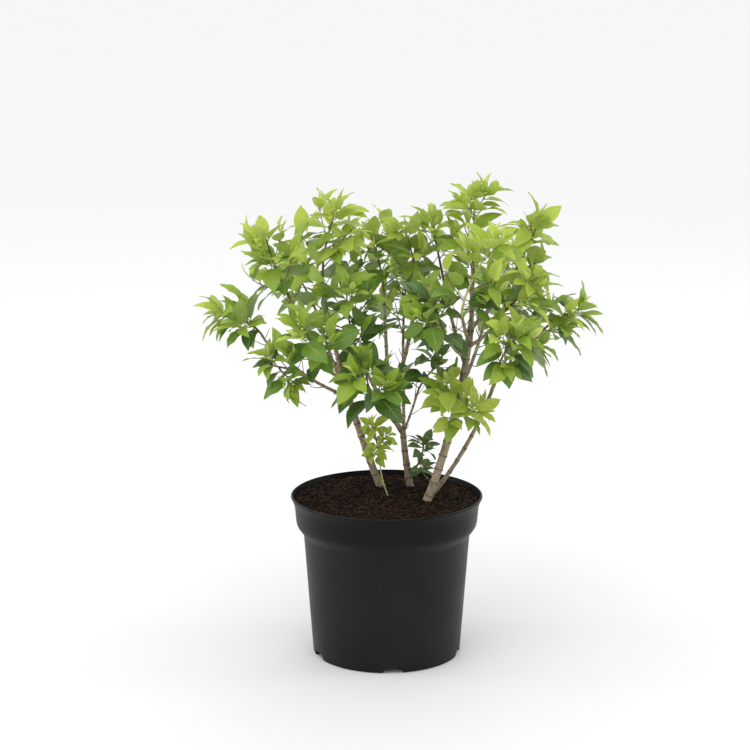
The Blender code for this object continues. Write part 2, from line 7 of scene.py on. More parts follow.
# %% Load the frame
import json
import math
import random

import bmesh
import bpy
import numpy as np
from mathutils import Matrix, Vector, noise
from mathutils.bvhtree import BVHTree

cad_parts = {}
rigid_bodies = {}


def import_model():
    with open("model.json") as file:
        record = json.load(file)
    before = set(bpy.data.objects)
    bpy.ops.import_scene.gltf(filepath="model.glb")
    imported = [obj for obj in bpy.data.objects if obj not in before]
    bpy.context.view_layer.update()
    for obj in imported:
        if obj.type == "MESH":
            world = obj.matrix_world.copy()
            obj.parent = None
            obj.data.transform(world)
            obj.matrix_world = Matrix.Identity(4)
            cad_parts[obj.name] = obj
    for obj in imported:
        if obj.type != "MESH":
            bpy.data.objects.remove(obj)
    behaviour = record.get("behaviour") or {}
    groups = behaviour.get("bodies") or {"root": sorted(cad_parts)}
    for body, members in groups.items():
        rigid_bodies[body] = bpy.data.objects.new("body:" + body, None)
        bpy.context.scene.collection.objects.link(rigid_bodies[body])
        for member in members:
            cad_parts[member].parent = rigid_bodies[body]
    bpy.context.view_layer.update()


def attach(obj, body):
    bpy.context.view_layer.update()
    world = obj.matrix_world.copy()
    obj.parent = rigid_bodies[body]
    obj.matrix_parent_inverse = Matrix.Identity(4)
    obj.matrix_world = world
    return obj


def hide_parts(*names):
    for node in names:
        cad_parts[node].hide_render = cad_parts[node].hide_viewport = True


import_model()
MM = 0.001
UP = Vector((0, 0, 1))

# %% [markdown]
# ## The camera
# The photograph was taken from about two and a half metres away, a little above the plant. A long lens
# from far away keeps the ellipse of the pot's rim flat, as it is there.

# %% Camera
CAMERA_PLACE = (-0.0141, -2.5, 0.8918)
CAMERA_TILT = 12.39  # degrees down from level
CAMERA_LENS = 103.2  # mm, on a sensor 36 mm wide

camera = bpy.data.objects.new("camera", bpy.data.cameras.new("camera"))
camera.location = CAMERA_PLACE
camera.rotation_euler = (math.radians(90 - CAMERA_TILT), 0, 0)
camera.data.lens = CAMERA_LENS
camera.data.sensor_width = 36
bpy.context.scene.collection.objects.link(camera)
bpy.context.scene.camera = camera
print("camera", tuple(camera.location))

# %% [markdown]
# ## Light and floor
# A white studio: an even white surround, one large soft lamp high in front, and a tall soft lamp on each
# side. The side lamps draw the pale streaks down the left and right edges of the black pot.

# %% Studio
SURROUND = 1.0
LAMPS = {  # place, size in metres, strength in watts
    "lamp_front": ((-0.5, -1.3, 2.6), (2.0, 1.4), 15),
    "lamp_left": ((-1.7, 0.1, 0.7), (0.5, 1.4), 5),
    "lamp_right": ((1.7, 0.1, 0.7), (0.5, 1.4), 5),
    "lamp_back": ((0.4, 1.7, 2.0), (1.6, 1.0), 8),
}
LAMPS_AIM = Vector((0, 0, 0.32))
FLOOR_SIZE = 40

scene = bpy.context.scene
scene.view_settings.view_transform = "Standard"
world = bpy.data.worlds.new("white_surround")
world.use_nodes = True
world.node_tree.nodes["Background"].inputs["Color"].default_value = (1, 1, 1, 1)
world.node_tree.nodes["Background"].inputs["Strength"].default_value = SURROUND
scene.world = world
for name, (place, size, watts) in LAMPS.items():
    lamp = bpy.data.lights.new(name, "AREA")
    lamp.shape = "RECTANGLE"
    lamp.size, lamp.size_y = size
    lamp.energy = watts
    holder = bpy.data.objects.new(name, lamp)
    holder.location = place
    holder.rotation_euler = (LAMPS_AIM - Vector(place)).to_track_quat("-Z", "Y").to_euler()
    scene.collection.objects.link(holder)
print("lamps", len(LAMPS))

# %% [markdown]
# ## Helpers for meshes and colours
# Colours are easier to read as the screen shows them, from 0 to 255, so a helper turns those into the
# linear values that shaders take. A second helper makes a finished object out of a bmesh.


# %% Helpers
def screen(red, green, blue):
    """The linear colour for a colour given as the screen shows it."""
    shares = (c / 255 for c in (red, green, blue))
    return tuple(c / 12.92 if c <= 0.04045 else ((c + 0.055) / 1.055) ** 2.4 for c in shares) + (1,)


def piece(name, bm, finish, slot=None, nodes=()):
    """A finished piece of the plant: it rides on the one body and stands for its solids."""
    mesh = bpy.data.meshes.new(name)
    bm.to_mesh(mesh)
    bm.free()
    return piece_from_mesh(name, mesh, finish, slot, nodes)


def piece_from_mesh(name, mesh, finish, slot=None, nodes=()):
    mesh.materials.append(finish)
    obj = bpy.data.objects.new(name, mesh)
    scene.collection.objects.link(obj)
    if slot:
        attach(obj, "root")
        if nodes:
            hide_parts(*nodes)
    print(name, "faces", len(mesh.polygons))
    return obj


def smooth(mesh, degrees=40):
    mesh.shade_smooth()
    mesh.set_sharp_from_angle(angle=math.radians(degrees))


# %% [markdown]
# ## Node groups that several finishes share
# A group is built once and placed in each material with its own values. This one mottles a colour with
# two sizes of noise, which keeps any surface from looking like one flat tone.


# %% Mottle group
def new_group(name, inputs, outputs):
    """An empty shader group with named sockets, and its input and output nodes."""
    group = bpy.data.node_groups.new(name, "ShaderNodeTree")
    for socket, kind, value in inputs:
        made = group.interface.new_socket(socket, in_out="INPUT", socket_type=kind)
        if value is not None:
            made.default_value = value
    for socket, kind in outputs:
        group.interface.new_socket(socket, in_out="OUTPUT", socket_type=kind)
    return group, group.nodes.new("NodeGroupInput"), group.nodes.new("NodeGroupOutput")


def math_node(tree, operation, first, second=None, third=None):
    """A Math node. Each value is a number or a socket."""
    node = tree.nodes.new("ShaderNodeMath")
    node.operation = operation
    for socket, value in zip(node.inputs, (first, second, third)):
        if isinstance(value, bpy.types.NodeSocket):
            tree.links.new(value, socket)
        elif value is not None:
            socket.default_value = value
    return node.outputs[0]


def mix_colours(tree, factor, first, second, blend="MIX"):
    node = tree.nodes.new("ShaderNodeMix")
    node.data_type = "RGBA"
    node.blend_type = blend
    for socket, value in zip((node.inputs[0], node.inputs[6], node.inputs[7]), (factor, first, second)):
        if isinstance(value, bpy.types.NodeSocket):
            tree.links.new(value, socket)
        else:
            socket.default_value = value
    return node.outputs[2]


def noise_node(tree, vector, scale, detail=3.0):
    node = tree.nodes.new("ShaderNodeTexNoise")
    if isinstance(scale, bpy.types.NodeSocket):
        tree.links.new(scale, node.inputs["Scale"])
    else:
        node.inputs["Scale"].default_value = scale
    node.inputs["Detail"].default_value = detail
    tree.links.new(vector, node.inputs["Vector"])
    return node.outputs["Fac"]


def make_mottle():
    inputs = [
        ("Vector", "NodeSocketVector", None),
        ("Colour", "NodeSocketColor", (1, 1, 1, 1)),
        ("Dark", "NodeSocketFloat", 0.7),
        ("Light", "NodeSocketFloat", 1.25),
        ("Coarse Scale", "NodeSocketFloat", 60.0),
        ("Fine Scale", "NodeSocketFloat", 400.0),
    ]
    outputs = [("Colour", "NodeSocketColor"), ("Fine", "NodeSocketFloat"), ("Coarse", "NodeSocketFloat")]
    group, given, made = new_group("mottle", inputs, outputs)
    coarse = noise_node(group, given.outputs["Vector"], given.outputs["Coarse Scale"])
    fine = noise_node(group, given.outputs["Vector"], given.outputs["Fine Scale"])
    both = math_node(group, "MULTIPLY_ADD", coarse, 0.6, math_node(group, "MULTIPLY", fine, 0.4))
    spread = group.nodes.new("ShaderNodeMapRange")
    spread.inputs["From Min"].default_value = 0.35
    spread.inputs["From Max"].default_value = 0.65
    group.links.new(both, spread.inputs["Value"])
    group.links.new(given.outputs["Dark"], spread.inputs["To Min"])
    group.links.new(given.outputs["Light"], spread.inputs["To Max"])
    scaled = group.nodes.new("ShaderNodeVectorMath")
    scaled.operation = "SCALE"
    group.links.new(given.outputs["Colour"], scaled.inputs[0])
    group.links.new(spread.outputs["Result"], scaled.inputs["Scale"])
    group.links.new(scaled.outputs[0], made.inputs["Colour"])
    group.links.new(fine, made.inputs["Fine"])
    group.links.new(coarse, made.inputs["Coarse"])
    return group


mottle = make_mottle()
print("group", mottle.name, "inputs", len(mottle.interface.items_tree))

# %% [markdown]
# ## The veins of a leaf
# A hydrangea leaf has one pale rib and six or seven pairs of side veins that curve to the tip. The leaf's
# own UV map gives the place on the blade: U runs from its base to its tip and V across it, so the veins
# follow each leaf wherever it points.


# %% Vein group
SIDE_VEINS = 8.0
VEIN_SLANT = 2.2


def make_veins():
    inputs = [("UV", "NodeSocketVector", None)]
    outputs = [("Rib", "NodeSocketFloat"), ("Veins", "NodeSocketFloat"), ("Height", "NodeSocketFloat")]
    group, given, made = new_group("leaf_veins", inputs, outputs)
    split = group.nodes.new("ShaderNodeSeparateXYZ")
    group.links.new(given.outputs["UV"], split.inputs[0])
    across = math_node(group, "ABSOLUTE", math_node(group, "MULTIPLY_ADD", split.outputs["Y"], 2.0, -1.0))
    rib = group.nodes.new("ShaderNodeMapRange")
    rib.interpolation_type = "SMOOTHSTEP"
    rib.inputs["From Min"].default_value = 0.10
    rib.inputs["From Max"].default_value = 0.02
    group.links.new(across, rib.inputs["Value"])
    slanted = math_node(group, "MULTIPLY_ADD", across, -VEIN_SLANT, math_node(group, "MULTIPLY", split.outputs["X"], SIDE_VEINS))
    near = math_node(group, "PINGPONG", slanted, 0.5)
    veins = group.nodes.new("ShaderNodeMapRange")
    veins.interpolation_type = "SMOOTHSTEP"
    veins.inputs["From Min"].default_value = 0.16
    veins.inputs["From Max"].default_value = 0.0
    group.links.new(near, veins.inputs["Value"])
    group.links.new(rib.outputs["Result"], made.inputs["Rib"])
    group.links.new(veins.outputs["Result"], made.inputs["Veins"])
    group.links.new(math_node(group, "SUBTRACT", near, rib.outputs["Result"]), made.inputs["Height"])
    return group


leaf_veins = make_veins()
print("group", leaf_veins.name)

# %% [markdown]
# ## Finishes
# Each finish is a Principled shader in its own material. Leaves also let light through, so a Translucent
# shader takes a share of the light, and their undersides are paler.


# %% Finish helpers
def new_finish(name, roughness):
    """A material with its tree, its Principled shader and its Texture Coordinate node."""
    finish = bpy.data.materials.new(name)
    finish.use_nodes = True
    tree = finish.node_tree
    shader = tree.nodes["Principled BSDF"]
    shader.inputs["Roughness"].default_value = roughness
    return finish, tree, shader, tree.nodes.new("ShaderNodeTexCoord")


def place_mottle(tree, vector, colour, dark, light, coarse, fine):
    node = tree.nodes.new("ShaderNodeGroup")
    node.node_tree = mottle
    tree.links.new(vector, node.inputs["Vector"])
    for name, value in (("Dark", dark), ("Light", light), ("Coarse Scale", coarse), ("Fine Scale", fine)):
        node.inputs[name].default_value = value
    if isinstance(colour, bpy.types.NodeSocket):
        tree.links.new(colour, node.inputs["Colour"])
    else:
        node.inputs["Colour"].default_value = colour
    return node


def add_bump(tree, shader, height, strength, distance):
    bump = tree.nodes.new("ShaderNodeBump")
    bump.inputs["Strength"].default_value = strength
    bump.inputs["Distance"].default_value = distance
    tree.links.new(height, bump.inputs["Height"])
    tree.links.new(bump.outputs["Normal"], shader.inputs["Normal"])
    return bump


# %% Leaf finishes
# Tones go by age and by painted light: "shaded" is a painted shade tone for leaves deep and low in the crown, and the
# paler tones also go to leaves outside the crown and on top.
LEAF_TONES = {  # blade as the screen shows it, light let through, roughness
    "whorl": ((214, 224, 124), 0.38, 0.45),
    "young": ((186, 206, 84), 0.36, 0.45),
    "fresh": ((146, 174, 60), 0.28, 0.42),
    "mature": ((104, 140, 48), 0.20, 0.40),
    "shaded": ((70, 104, 38), 0.12, 0.42),
    "bluish": ((92, 122, 74), 0.16, 0.50),
}
RIB_COLOUR = screen(186, 202, 118)
UNDERSIDE_COLOUR = screen(168, 186, 120)


def leaf_finish(name, blade, through, roughness):
    finish, tree, shader, place = new_finish(name, roughness)
    veins = tree.nodes.new("ShaderNodeGroup")
    veins.node_tree = leaf_veins
    tree.links.new(place.outputs["UV"], veins.inputs["UV"])
    patches = place_mottle(tree, place.outputs["Object"], blade, 0.86, 1.14, 45.0, 900.0)
    veined = mix_colours(tree, math_node(tree, "MULTIPLY", veins.outputs["Veins"], 0.16), patches.outputs["Colour"], RIB_COLOUR)
    ribbed = mix_colours(tree, math_node(tree, "MULTIPLY", veins.outputs["Rib"], 0.32), veined, RIB_COLOUR)
    facing = tree.nodes.new("ShaderNodeNewGeometry")
    back = math_node(tree, "MULTIPLY", facing.outputs["Backfacing"], 0.35)
    colour = mix_colours(tree, back, ribbed, UNDERSIDE_COLOUR)
    tree.links.new(colour, shader.inputs["Base Color"])
    bump = add_bump(tree, shader, veins.outputs["Height"], 0.5, 0.0006)
    glow = tree.nodes.new("ShaderNodeBsdfTranslucent")
    tree.links.new(colour, glow.inputs["Color"])
    tree.links.new(bump.outputs["Normal"], glow.inputs["Normal"])
    both = tree.nodes.new("ShaderNodeMixShader")
    both.inputs[0].default_value = through
    tree.links.new(shader.outputs[0], both.inputs[1])
    tree.links.new(glow.outputs[0], both.inputs[2])
    tree.links.new(both.outputs[0], tree.nodes["Material Output"].inputs["Surface"])
    shader.inputs["Specular IOR Level"].default_value = 0.4
    return finish


leaf_finishes = {
    tone: leaf_finish(f"leaf_{tone}", screen(*blade), through, roughness)
    for tone, (blade, through, roughness) in LEAF_TONES.items()
}
print("leaf finishes", list(leaf_finishes))


# %% Bark, twig, pot and mix finishes
def woody_finish(name, colour, groove, dark, light, roughness, bump_distance, ring=None):
    """Bark that is streaked lengthwise: the noise is squeezed along the mostly upright wood."""
    finish, tree, shader, place = new_finish(name, roughness)
    streaks = tree.nodes.new("ShaderNodeMapping")
    streaks.inputs["Scale"].default_value = (1.0, 1.0, 0.22)
    tree.links.new(place.outputs["Object"], streaks.inputs["Vector"])
    skin = place_mottle(tree, streaks.outputs["Vector"], colour, dark, light, 420.0, 1600.0)
    grooves = tree.nodes.new("ShaderNodeMapRange")
    grooves.inputs["From Min"].default_value = 0.46
    grooves.inputs["From Max"].default_value = 0.36
    tree.links.new(skin.outputs["Coarse"], grooves.inputs["Value"])
    shade = math_node(tree, "MULTIPLY", grooves.outputs["Result"], 0.45)
    wood = mix_colours(tree, shade, skin.outputs["Colour"], groove)
    if ring:
        dark_rings = tree.nodes.new("ShaderNodeAttribute")
        dark_rings.attribute_name = "ring"
        wood = mix_colours(tree, dark_rings.outputs["Fac"], wood, ring)
    tree.links.new(wood, shader.inputs["Base Color"])
    add_bump(tree, shader, skin.outputs["Fine"], 0.6, bump_distance)
    shader.inputs["Specular IOR Level"].default_value = 0.3
    return finish


bark = woody_finish(
    "grey_bark", screen(158, 143, 120), screen(92, 76, 58), 0.68, 1.25, 0.8, 0.0005, screen(66, 52, 40)
)
twig_wood = woody_finish("brown_twig", screen(112, 90, 62), screen(62, 46, 32), 0.7, 1.3, 0.75, 0.0004)
young_wood = woody_finish("young_wood", screen(124, 112, 66), screen(84, 66, 44), 0.7, 1.25, 0.6, 0.0003)
green_shoot = woody_finish("green_shoot", screen(150, 164, 86), screen(120, 120, 66), 0.8, 1.2, 0.55, 0.0002)
pale_shoot = woody_finish("pale_shoot", screen(186, 190, 122), screen(150, 144, 92), 0.85, 1.15, 0.55, 0.0002)


def plastic_finish():
    finish, tree, shader, place = new_finish("black_plastic", 0.5)
    height = tree.nodes.new("ShaderNodeSeparateXYZ")
    tree.links.new(place.outputs["Object"], height.inputs[0])
    # The pot's colour is darker from the slanted step up to the lip than on the body below.
    above_step_ramp = tree.nodes.new("ShaderNodeMapRange")
    above_step_ramp.inputs["From Min"].default_value = 0.148
    above_step_ramp.inputs["From Max"].default_value = 0.168
    tree.links.new(height.outputs["Z"], above_step_ramp.inputs["Value"])
    body_darker_above_step = mix_colours(tree, above_step_ramp.outputs["Result"], screen(25, 25, 26), screen(12, 11, 12))
    skin = place_mottle(tree, place.outputs["Object"], body_darker_above_step, 0.8, 1.25, 18.0, 1800.0)
    tree.links.new(skin.outputs["Colour"], shader.inputs["Base Color"])
    dull = math_node(tree, "MULTIPLY_ADD", skin.outputs["Coarse"], 0.2, 0.34)
    tree.links.new(dull, shader.inputs["Roughness"])
    shader.inputs["Specular IOR Level"].default_value = 0.15
    add_bump(tree, shader, skin.outputs["Fine"], 0.25, 0.0003)
    return finish


def mix_finish(name, colour, dark, light):
    finish, tree, shader, place = new_finish(name, 0.95)
    skin = place_mottle(tree, place.outputs["Object"], colour, dark, light, 240.0, 1500.0)
    tree.links.new(skin.outputs["Colour"], shader.inputs["Base Color"])
    add_bump(tree, shader, skin.outputs["Fine"], 0.8, 0.0012)
    shader.inputs["Specular IOR Level"].default_value = 0.1
    return finish


plastic = plastic_finish()
peat = mix_finish("dark_peat", screen(33, 24, 20), 0.3, 1.9)
bits = mix_finish("bark_bits", screen(72, 44, 30), 0.4, 1.7)
fibre = mix_finish("peat_fibre", screen(112, 84, 62), 0.5, 1.4)


def floor_finish():
    finish, tree, shader, place = new_finish("pale_floor", 0.9)
    away = tree.nodes.new("ShaderNodeVectorMath")
    away.operation = "LENGTH"
    tree.links.new(place.outputs["Object"], away.inputs[0])
    far = tree.nodes.new("ShaderNodeMapRange")
    far.interpolation_type = "SMOOTHSTEP"
    far.inputs["From Max"].default_value = FLOOR_EVEN_FROM
    tree.links.new(away.outputs["Value"], far.inputs["Value"])
    even = mix_colours(tree, far.outputs["Result"], FLOOR_IN_LAMPLIGHT, FLOOR_COLOUR)
    skin = place_mottle(tree, place.outputs["Object"], even, 0.998, 1.002, 3.0, 60.0)
    tree.links.new(skin.outputs["Colour"], shader.inputs["Base Color"])
    shader.inputs["Specular IOR Level"].default_value = 0.0
    return finish


FLOOR_COLOUR = screen(246, 246, 246)
FLOOR_IN_LAMPLIGHT = screen(233, 233, 233)
FLOOR_EVEN_FROM = 3.5

bm = bmesh.new()
bmesh.ops.create_grid(bm, x_segments=1, y_segments=1, size=FLOOR_SIZE / 2)
floor = piece("studio_floor", bm, floor_finish())

# %% [markdown]
# ## The pot
# A nursery pot is blown or moulded thin: a flared lip with a turned edge, a shallow band, a slanted step
# under it, a plain tapering body and a foot with five drainage notches. The outline is a profile of
# radius and height. Spinning it round the axis gives the shell, and wedges cut the notches.

# %% Pot profile
RIM_RADIUS = 115.5 * MM
FOOT_RADIUS = 89.3 * MM
POT_STEPS = 144
NOTCHES = 5
NOTCH_FIRST_AZIMUTH = -85.0
NOTCH_WIDTH = 27 * MM
NOTCH_TOP_WIDTH = 21 * MM
NOTCH_HEIGHT = 7.2 * MM
NOTCH_INNER_REACH = 64 * MM
OUTER_PROFILE = [  # radius and height in mm, from the lip down
    (113.1, 196.0), (114.4, 195.9), (115.3, 195.2), (115.4, 194.2), (114.7, 193.0), (113.2, 190.2),
    (111.6, 185.0), (111.0, 182.4), (110.6, 179.5), (109.8, 170.0), (109.1, 163.4), (108.6, 161.0),
    (107.2, 158.2), (102.4, 151.6), (101.0, 149.6), (100.2, 147.0), (98.6, 127.0), (93.9, 62.0),
    (90.3, 14.0), (89.4, 3.0), (88.9, 1.0), (87.4, 0.2), (85.0, 0.0), (60.0, 0.0), (0.0, 0.0),
]
INNER_PROFILE = [  # radius and height in mm, from the floor up
    (0.0, 2.2), (60.0, 2.2), (86.0, 2.2), (87.8, 4.0), (92.4, 62.0), (97.1, 127.0), (98.6, 148.4),
    (100.3, 151.9), (105.4, 158.8), (107.2, 162.6), (108.3, 171.0), (109.4, 182.8), (111.7, 190.8),
    (112.6, 194.6),
]


def spun(profile, steps):
    """A closed shell: a profile in millimetres, spun once round the vertical axis."""
    bm = bmesh.new()
    corners = [bm.verts.new((radius * MM, 0, height * MM)) for radius, height in profile]
    edges = [bm.edges.new(pair) for pair in zip(corners, corners[1:])]
    bmesh.ops.spin(
        bm, geom=corners + edges, cent=(0, 0, 0), axis=(0, 0, 1), dvec=(0, 0, 0),
        angle=math.tau, steps=steps, use_merge=True, use_duplicate=False,
    )
    bmesh.ops.remove_doubles(bm, verts=bm.verts, dist=1e-5)
    bmesh.ops.recalc_face_normals(bm, faces=bm.faces)
    return bm


def wedge(inner, outer, foot_width, top_width, low, high, azimuth):
    """A block with sloping sides that points outwards from the pot's axis."""
    bm = bmesh.new()
    bmesh.ops.create_cube(bm, size=2)
    for vertex in bm.verts:
        x, y, z = vertex.co
        width = foot_width if z < 0 else top_width
        vertex.co = ((inner if x < 0 else outer), y * width / 2, (low if z < 0 else high))
    edges = [e for e in bm.edges if min(v.co.z for v in e.verts) > low]
    bmesh.ops.bevel(bm, geom=edges, offset=1.2 * MM, affect="EDGES", segments=3, profile=0.5, material=-1)
    bmesh.ops.rotate(bm, verts=bm.verts, matrix=Matrix.Rotation(math.radians(azimuth), 3, "Z"))
    return bm


def combined(obj, bms, operation):
    """Joins solids to a piece, or cuts them from it, in one Boolean that is applied."""
    group = bpy.data.collections.new("tools")
    scene.collection.children.link(group)
    for bm in bms:
        mesh = bpy.data.meshes.new("tool")
        bm.to_mesh(mesh)
        bm.free()
        group.objects.link(bpy.data.objects.new("tool", mesh))
    boolean = obj.modifiers.new("combined", "BOOLEAN")
    boolean.operation = operation
    boolean.operand_type = "COLLECTION"
    boolean.collection = group
    bpy.context.view_layer.update()
    graph = bpy.context.evaluated_depsgraph_get()
    mesh = bpy.data.meshes.new_from_object(obj.evaluated_get(graph))
    obj.modifiers.clear()
    obj.data = mesh
    for tool in list(group.objects):
        bpy.data.objects.remove(tool)
    bpy.data.collections.remove(group)


# %% Pot
def notch_wedges(wall, outer, low):
    return [
        wedge(
            NOTCH_INNER_REACH - wall, outer, NOTCH_WIDTH + 2 * wall, NOTCH_TOP_WIDTH + 2 * wall,
            low, NOTCH_HEIGHT + wall, NOTCH_FIRST_AZIMUTH + 360 * number / NOTCHES,
        )
        for number in range(NOTCHES)
    ]


pot = piece("nursery_pot", spun(OUTER_PROFILE + INNER_PROFILE, POT_STEPS), plastic, "pot", ["pot"])
combined(pot, notch_wedges(1.5 * MM, FOOT_RADIUS - 1.2 * MM, 1 * MM), "UNION")
combined(pot, notch_wedges(0, RIM_RADIUS, -2 * MM), "DIFFERENCE")
smooth(pot.data, 32)

# %% [markdown]
# ## The potting mix
# Peat is crumbly, so the surface is a spun disc that gentle noise lifts and lowers, and hundreds of loose
# crumbs, bark bits and fibres lie on it. One template of each is copied by arrays into one mesh.

# %% Mix surface
MIX_MIDDLE = 193.6 * MM
MIX_EDGE_HEIGHT = 190 * MM
MIX_EDGE_RADIUS = 110.6 * MM
MIX_BASE = 166 * MM
MIX_BASE_RADIUS = 106.5 * MM
MIX_RINGS = 70
MIX_STEPS = 220


def mix_height(x, y):
    """The height of the mix at a place: a shallow mound with lumps of three sizes."""
    share = min(1.0, math.hypot(x, y) / MIX_EDGE_RADIUS)
    mound = MIX_MIDDLE + (MIX_EDGE_HEIGHT - MIX_MIDDLE) * share**3
    lumps = 1.3 * noise.noise((x * 55, y * 55, 0.3)) + 0.9 * noise.noise((x * 150, y * 150, 2.0))
    return mound + (lumps + 0.7 * noise.noise((x * 420, y * 420, 5.0))) * MM * (1 - 0.5 * share**8)


def build_mix():
    rings = [(MIX_EDGE_RADIUS / MM * number / MIX_RINGS, 190.0) for number in range(MIX_RINGS + 1)]
    rings += [(MIX_BASE_RADIUS / MM, MIX_BASE / MM), (0, MIX_BASE / MM)]
    bm = spun(rings, MIX_STEPS)
    for vertex in bm.verts:
        if vertex.co.z > MIX_BASE + 1 * MM:
            vertex.co.z = mix_height(vertex.co.x, vertex.co.y)
    bmesh.ops.recalc_face_normals(bm, faces=bm.faces)
    mix = piece("potting_mix_surface", bm, peat, "potting_mix", ["potting_mix"])
    mix.data.shade_smooth()
    return mix


mix_piece = build_mix()

# %% [markdown]
# ## Copies by arrays
# Thousands of small things are one mesh. A template is read into arrays, each copy gets its own turned and
# placed corners, and the copies are joined. The template itself still comes from a bmesh operator.


# %% Arrays
def template_of(bm):
    """Corners and faces of a bmesh as arrays, with the faces grouped by their number of corners."""
    bm.verts.ensure_lookup_table()
    bm.verts.index_update()
    points = np.array([v.co for v in bm.verts])
    faces = [[v.index for v in face.verts] for face in bm.faces]
    bm.free()
    return points, faces


def joined_mesh(name, copies, faces, uv=None):
    """One mesh out of copies: an array of (copy, corner, xyz), with the same faces for each copy."""
    count, corners = copies.shape[:2]
    loops = np.concatenate([np.array(face) for face in faces])
    sizes = np.array([len(face) for face in faces])
    all_loops = (loops[None, :] + corners * np.arange(count)[:, None]).ravel()
    all_sizes = np.tile(sizes, count)
    mesh = bpy.data.meshes.new(name)
    mesh.vertices.add(count * corners)
    mesh.vertices.foreach_set("co", copies.astype(np.float32).ravel())
    mesh.loops.add(len(all_loops))
    mesh.loops.foreach_set("vertex_index", all_loops.astype(np.int32))
    mesh.polygons.add(len(all_sizes))
    mesh.polygons.foreach_set("loop_start", np.concatenate([[0], np.cumsum(all_sizes)[:-1]]).astype(np.int32))
    if uv is not None:
        layer = mesh.uv_layers.new(name="blade")
        layer.data.foreach_set("uv", np.tile(uv[loops], (count, 1)).astype(np.float32).ravel())
    mesh.update(calc_edges=True)
    mesh.validate()
    return mesh


def scattered(points, places, turns, sizes):
    """Copies of a template: each is scaled by its size along three axes, turned and moved."""
    scaled = points[None] * np.array(sizes)[:, None, :]
    turned = np.einsum("nij,nkj->nki", np.array(turns), scaled)
    return turned + np.array(places)[:, None, :]


# %% Crumbs, bark bits and fibres
CRUMBS = 2600
BARK_BITS = 240
FIBRES = 420


def litter(name, template, count, sizes, sink, finish, seed, flat=0.0):
    """Small bits that lie on the mix, each turned its own way."""
    points, faces = template
    chance = random.Random(seed)
    places, turns, scales = [], [], []
    for _ in range(count):
        radius = (MIX_EDGE_RADIUS - 3 * MM) * math.sqrt(chance.random())
        angle = chance.uniform(0, math.tau)
        x, y = radius * math.cos(angle), radius * math.sin(angle)
        size = [chance.uniform(*limits) * MM for limits in sizes]
        places.append((x, y, mix_height(x, y) + sink * size[2]))
        tip = Matrix.Rotation(chance.gauss(0, 1) * (1 - flat), 3, "X") @ Matrix.Rotation(chance.gauss(0, 1) * (1 - flat), 3, "Y")
        turns.append(np.array(Matrix.Rotation(chance.uniform(0, math.tau), 3, "Z") @ tip))
        scales.append(size)
    mesh = joined_mesh(name, scattered(points, places, turns, scales), faces)
    return piece_from_mesh(name, mesh, finish, "potting_mix", ["potting_mix"])


def lump_template(seed, roughness):
    bm = bmesh.new()
    bmesh.ops.create_icosphere(bm, subdivisions=1, radius=0.5)
    for vertex in bm.verts:
        vertex.co *= 1 + roughness * noise.noise(vertex.co * 3 + Vector((seed, 0, 0)))
    return template_of(bm)


def fibre_template():
    bm = bmesh.new()
    bmesh.ops.create_cone(bm, cap_ends=True, segments=3, radius1=0.5, radius2=0.3, depth=1)
    lengthwise = [e for e in bm.edges if abs(e.verts[0].co.z - e.verts[1].co.z) > 0.5]
    bmesh.ops.subdivide_edges(bm, edges=lengthwise, cuts=4)
    bmesh.ops.rotate(bm, verts=bm.verts, matrix=Matrix.Rotation(math.pi / 2, 3, "Y"))
    for vertex in bm.verts:
        vertex.co.y += 1.2 * math.sin(vertex.co.x * 4.5)
        vertex.co.z += 0.8 * math.cos(vertex.co.x * 3)
    return template_of(bm)


litter("peat_crumbs", lump_template(1, 0.9), CRUMBS, ((0.8, 4.2), (0.8, 3.4), (0.6, 2.4)), 0.1, peat, 21)
litter("peat_bark_bits", lump_template(7, 1.1), BARK_BITS, ((2.5, 8.0), (1.5, 4.0), (0.6, 1.6)), 0.3, bits, 22, 0.7)
litter("peat_fibres", fibre_template(), FIBRES, ((4, 14), (0.35, 0.7), (0.35, 0.7)), 1.0, fibre, 23, 0.8)

# %% [markdown]
# ## Stems and boughs
# The plant's frame is the one in the solids: five stems, and boughs that leave them, each given by an
# azimuth, a slope and a length. A limb is a bend in one plane that leaves its parent low and turns up.

# %% Limb sizes
MIX_TOP = 194 * MM
GAP = 0.3 * MM

# Stems: foot on the mix (right, back), azimuth, slope, length, bow, foot radius and tip radius.
# Azimuth is in degrees from the right, counterclockwise seen from above. Slope is above level.
# Sizes are in mm.
STEMS = {
    "stem_left": ((-8, 44), 190, 72.5, 170, 3, 4.8, 3.6),
    "stem_middle": ((29, 44), 175, 82.5, 70, 1, 4.6, 3.8),
    "stem_right": ((49, -18), 25, 75.0, 220, 8, 5.4, 4.0),
    "stem_thin": ((57, 11), 5, 62.5, 165, 8, 3.0, 2.3),
    "stem_low": ((1, 2), 190, 77.5, 45, 2, 1.5, 1.2),
}

